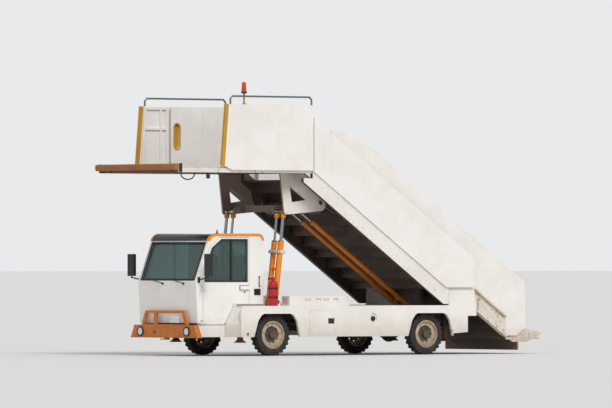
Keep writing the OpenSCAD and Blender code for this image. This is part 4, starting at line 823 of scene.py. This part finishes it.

# Brackets and cross beam: flame-cut plate, white on the outer faces and a
# painted shade of grey-brown on the faces turned in. The hinge pin shows a
# bolted cap.
dress(enamel("White enamel on bracket plate", "e2dbd0", "b9afa2", "7d7264", roughness=0.5, dust_top=0.4,
             streaks=0.4, shade_within=0.922, inside="8a786a"), "platform_brackets")
hinge = Vector((0.786, 0, 2.700))
for s, name in sides:
    cap = drum(hinge + Vector((0, s * 0.9395, 0)), hinge + Vector((0, s * 0.9475, 0)), 0.040, 32)
    step_in(cap, lambda c, n: s * n.y > 0.9, 0.010, 0.004)
    step_in(cap, lambda c, n: s * n.y > 0.9, 0.008, -0.003)
    soften(cap, 0.0015)
    hand_over(cap, f"hinge_cap_{name}", "platform", zinc)

# Sliding guards and rails: each guard's hand slot has a folded ochre ring on
# its inner face and a pressed pan on its outer one. The galvanised handrails
# stand in flanges on the walls.
slot_x, slot_foot, slot_run, slot_r = 2.378, 3.727, 0.325, 0.060


def slot_shape(y, depth, radius):
    # A disc whose upper half is drawn up to the slot's length
    plate = drum((slot_x, y, slot_foot), (slot_x, y + depth, slot_foot), radius, 40)
    pick(plate, lambda c, n: abs(n.y) < 0.1 and c.z > slot_foot + 0.003)
    bpy.ops.transform.translate(value=(0, 0, slot_run))
    bpy.ops.object.mode_set(mode="OBJECT")
    return plate


ring = slot_shape(1.184, 0.005, slot_r + 0.020)
pick(ring, lambda c, n: abs(n.y) > 0.9)
bpy.ops.mesh.inset(thickness=0.022, depth=0, use_individual=True)
bpy.ops.mesh.delete(type="FACE")
bpy.ops.mesh.select_mode(type="EDGE")
bpy.ops.mesh.select_non_manifold()
bpy.ops.mesh.bridge_edge_loops()
bpy.ops.mesh.select_all(action="SELECT")
bpy.ops.mesh.normals_make_consistent(inside=False)
bpy.ops.object.mode_set(mode="OBJECT")
soften(ring, 0.001)
hand_over(ring, "slot_ring_left", "guard_left", strip_ochre)
copy_by(ring, "slot_ring_right", "guard_right", mirrored=True)
pan = slot_shape(1.2258, 0.004, slot_r + 0.012)
step_in(pan, lambda c, n: n.y < -0.9, 0.016, -0.0015)
soften(pan, 0.001)
hand_over(pan, "slot_pan_left", "guard_left", strip_ochre)
copy_by(pan, "slot_pan_right", "guard_right", mirrored=True)

dress(zinc, "platform_rails")

# Beacon: an amber dome with moulded ribs on a black socket, whose steel stem
# stands in an ochre sleeve on the left wall.
amber = textured("Amber acrylic beacon dome", "Wave", {"Scale": 14.0, "bands_direction": "Z"},
                 ("c8420c",), 0.2, (0.5, 0.003))
dress(amber, "beacon")
stem_x, stem_y, stem_foot, socket_z = 2.690, 1.236, 4.4245, 4.622
sleeve = drum((stem_x, stem_y, stem_foot), (stem_x, stem_y, socket_z - 0.012), 0.0155, 24)
step_in(sleeve, lambda c, n: n.z > 0.9, 0.002, 0.004)
soften(sleeve, 0.001)
hand_over(sleeve, "beacon_sleeve", "platform", strip_ochre)
socket = drum((stem_x, stem_y, socket_z - 0.008), (stem_x, stem_y, socket_z + 0.020), 0.052, 40)
step_in(socket, lambda c, n: n.z < -0.9, 0.018, 0.004)
soften(socket, 0.003)
hand_over(socket, "beacon_socket", "platform", plastic)

# Apron: a bevelled rubber bar, bleached brown, held by a strap at each end. A
# sensor lead leaves its gland, sags below the floor and goes back into the
# beam, and a height sensor looks down beside it.
dress(enamel("Weathered brown bumper rubber", "a0663a", "86552f", "5f4a37", roughness=0.75, dust_top=0.3),
      "apron_bumper")

lead_rubber = textured("Black lead rubber", "Noise", {"Scale": 90.0, "Detail": 3}, ("111112", "2b2b2b"), 0.6)

lead_y, lead_top, lead_mid, lead_reach, lead_drop, lead_d = 1.165, 3.204, 3.860, 0.150, 0.110, 0.022
route = []
for i in range(33):
    turn = math.pi * i / 32
    route.append((lead_mid + lead_reach * math.cos(turn), lead_y, lead_top - lead_drop * math.sin(turn)))
bpy.ops.object.select_all(action="DESELECT")
bpy.ops.curve.primitive_nurbs_path_add()
lead = bpy.context.object
lead.data.splines.clear()
line = lead.data.splines.new("POLY")
line.points.add(len(route) - 1)
for point, at in zip(line.points, route):
    point.co = (*at, 1)
lead.data.bevel_depth = lead_d / 2
lead.data.bevel_resolution = 5
lead.data.use_fill_caps = True
lead.location = (0, 0, 0)
lead.name = "sensor_lead"
lead.data.materials.append(lead_rubber)
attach(lead, "platform")
sensor_x, beam_foot = 3.42, 3.2195
sensor = drum((sensor_x, lead_y, beam_foot), (sensor_x, lead_y, 3.118), 0.034, 32)
step_in(sensor, lambda c, n: n.z < -0.9, 0.008, 0.006)
step_in(sensor, lambda c, n: n.z < -0.9, 0.010, -0.004)
soften(sensor, 0.003)
hand_over(sensor, "height_sensor", "platform", plastic)
for s, name in sides:
    strap = side_block(s, (4.008, 1.197, 3.226), (4.074, 1.209, 3.378))
    step_in(strap, lambda c, n: s * n.y > 0.9, 0.010, 0.003)
    soften(strap, 0.003)
    hand_over(strap, f"apron_strap_{name}", "platform", lead_rubber)
for number, x in ((1, route[0][0]), (2, route[-1][0])):
    gland = drum((x, lead_y, lead_top - 0.004), (x, lead_y, 3.2205), 0.018, 6)
    step_in(gland, lambda c, n: n.z < -0.9, 0.004, 0.010)
    soften(gland, 0.001)
    hand_over(gland, f"lead_gland_{number}", "platform", plastic)

# Floor and light: a pale concrete floor out to the horizon, one wide soft
# sun and an even pale sky.
bpy.ops.mesh.primitive_plane_add(size=3000, location=(0, 0, 0))
floor = bpy.context.object
floor.name = "floor"
concrete, _, shader = new_finish("Pale concrete")
shader.inputs["Base Color"].default_value = linear("dcdad6")
shader.inputs["Roughness"].default_value = 0.9
floor.data.materials.append(concrete)

world = bpy.data.worlds.new("Soft sky")
bpy.context.scene.world = world
world.use_nodes = True
tree = world.node_tree
sky = tree.nodes["Background"]
sky.inputs["Color"].default_value = (0.93, 0.95, 1.0, 1)
sky.inputs["Strength"].default_value = 0.62
seen = add(tree, "ShaderNodeLightPath")
either = add(tree, "ShaderNodeMath", {"operation": "MAXIMUM"},
             {0: seen.outputs["Is Camera Ray"], 1: seen.outputs["Is Transmission Ray"]})
backdrop = add(tree, "ShaderNodeBackground", {"Color": linear("e8eaec"), "Strength": 1.0})
blend = add(tree, "ShaderNodeMixShader", {},
            {0: either.outputs[0], 1: sky.outputs[0], 2: backdrop.outputs[0]})
tree.links.new(blend.outputs[0], tree.nodes["World Output"].inputs["Surface"])

bpy.ops.object.light_add(type="SUN", location=(20, 30, 30))
sun = bpy.context.object
sun.data.energy = 1.9
sun.data.angle = math.radians(22)
sun.rotation_mode = "QUATERNION"
sun.rotation_quaternion = Vector((-0.20, -0.74, -0.76)).to_track_quat("-Z", "Y")

scene = bpy.context.scene
scene.view_settings.view_transform = "Standard"

# Camera: a long lens far away, 37 degrees forward of the left side.
focal_px, photo_width_px, horizon_px = 7840, 612, 61
turn, pitch = math.radians(37), math.atan(horizon_px / focal_px)
towards = Vector((-math.sin(turn) * math.cos(pitch), -math.cos(turn) * math.cos(pitch), math.sin(pitch)))
bpy.ops.object.camera_add(location=(84.594, 111.734, 1.6))
camera = bpy.context.object
camera.rotation_mode = "QUATERNION"
camera.rotation_quaternion = towards.to_track_quat("-Z", "Y")
camera.data.sensor_width = 36
camera.data.lens = camera.data.sensor_width * focal_px / photo_width_px
camera.data.clip_start = 1
camera.data.clip_end = 4000
scene.camera = camera
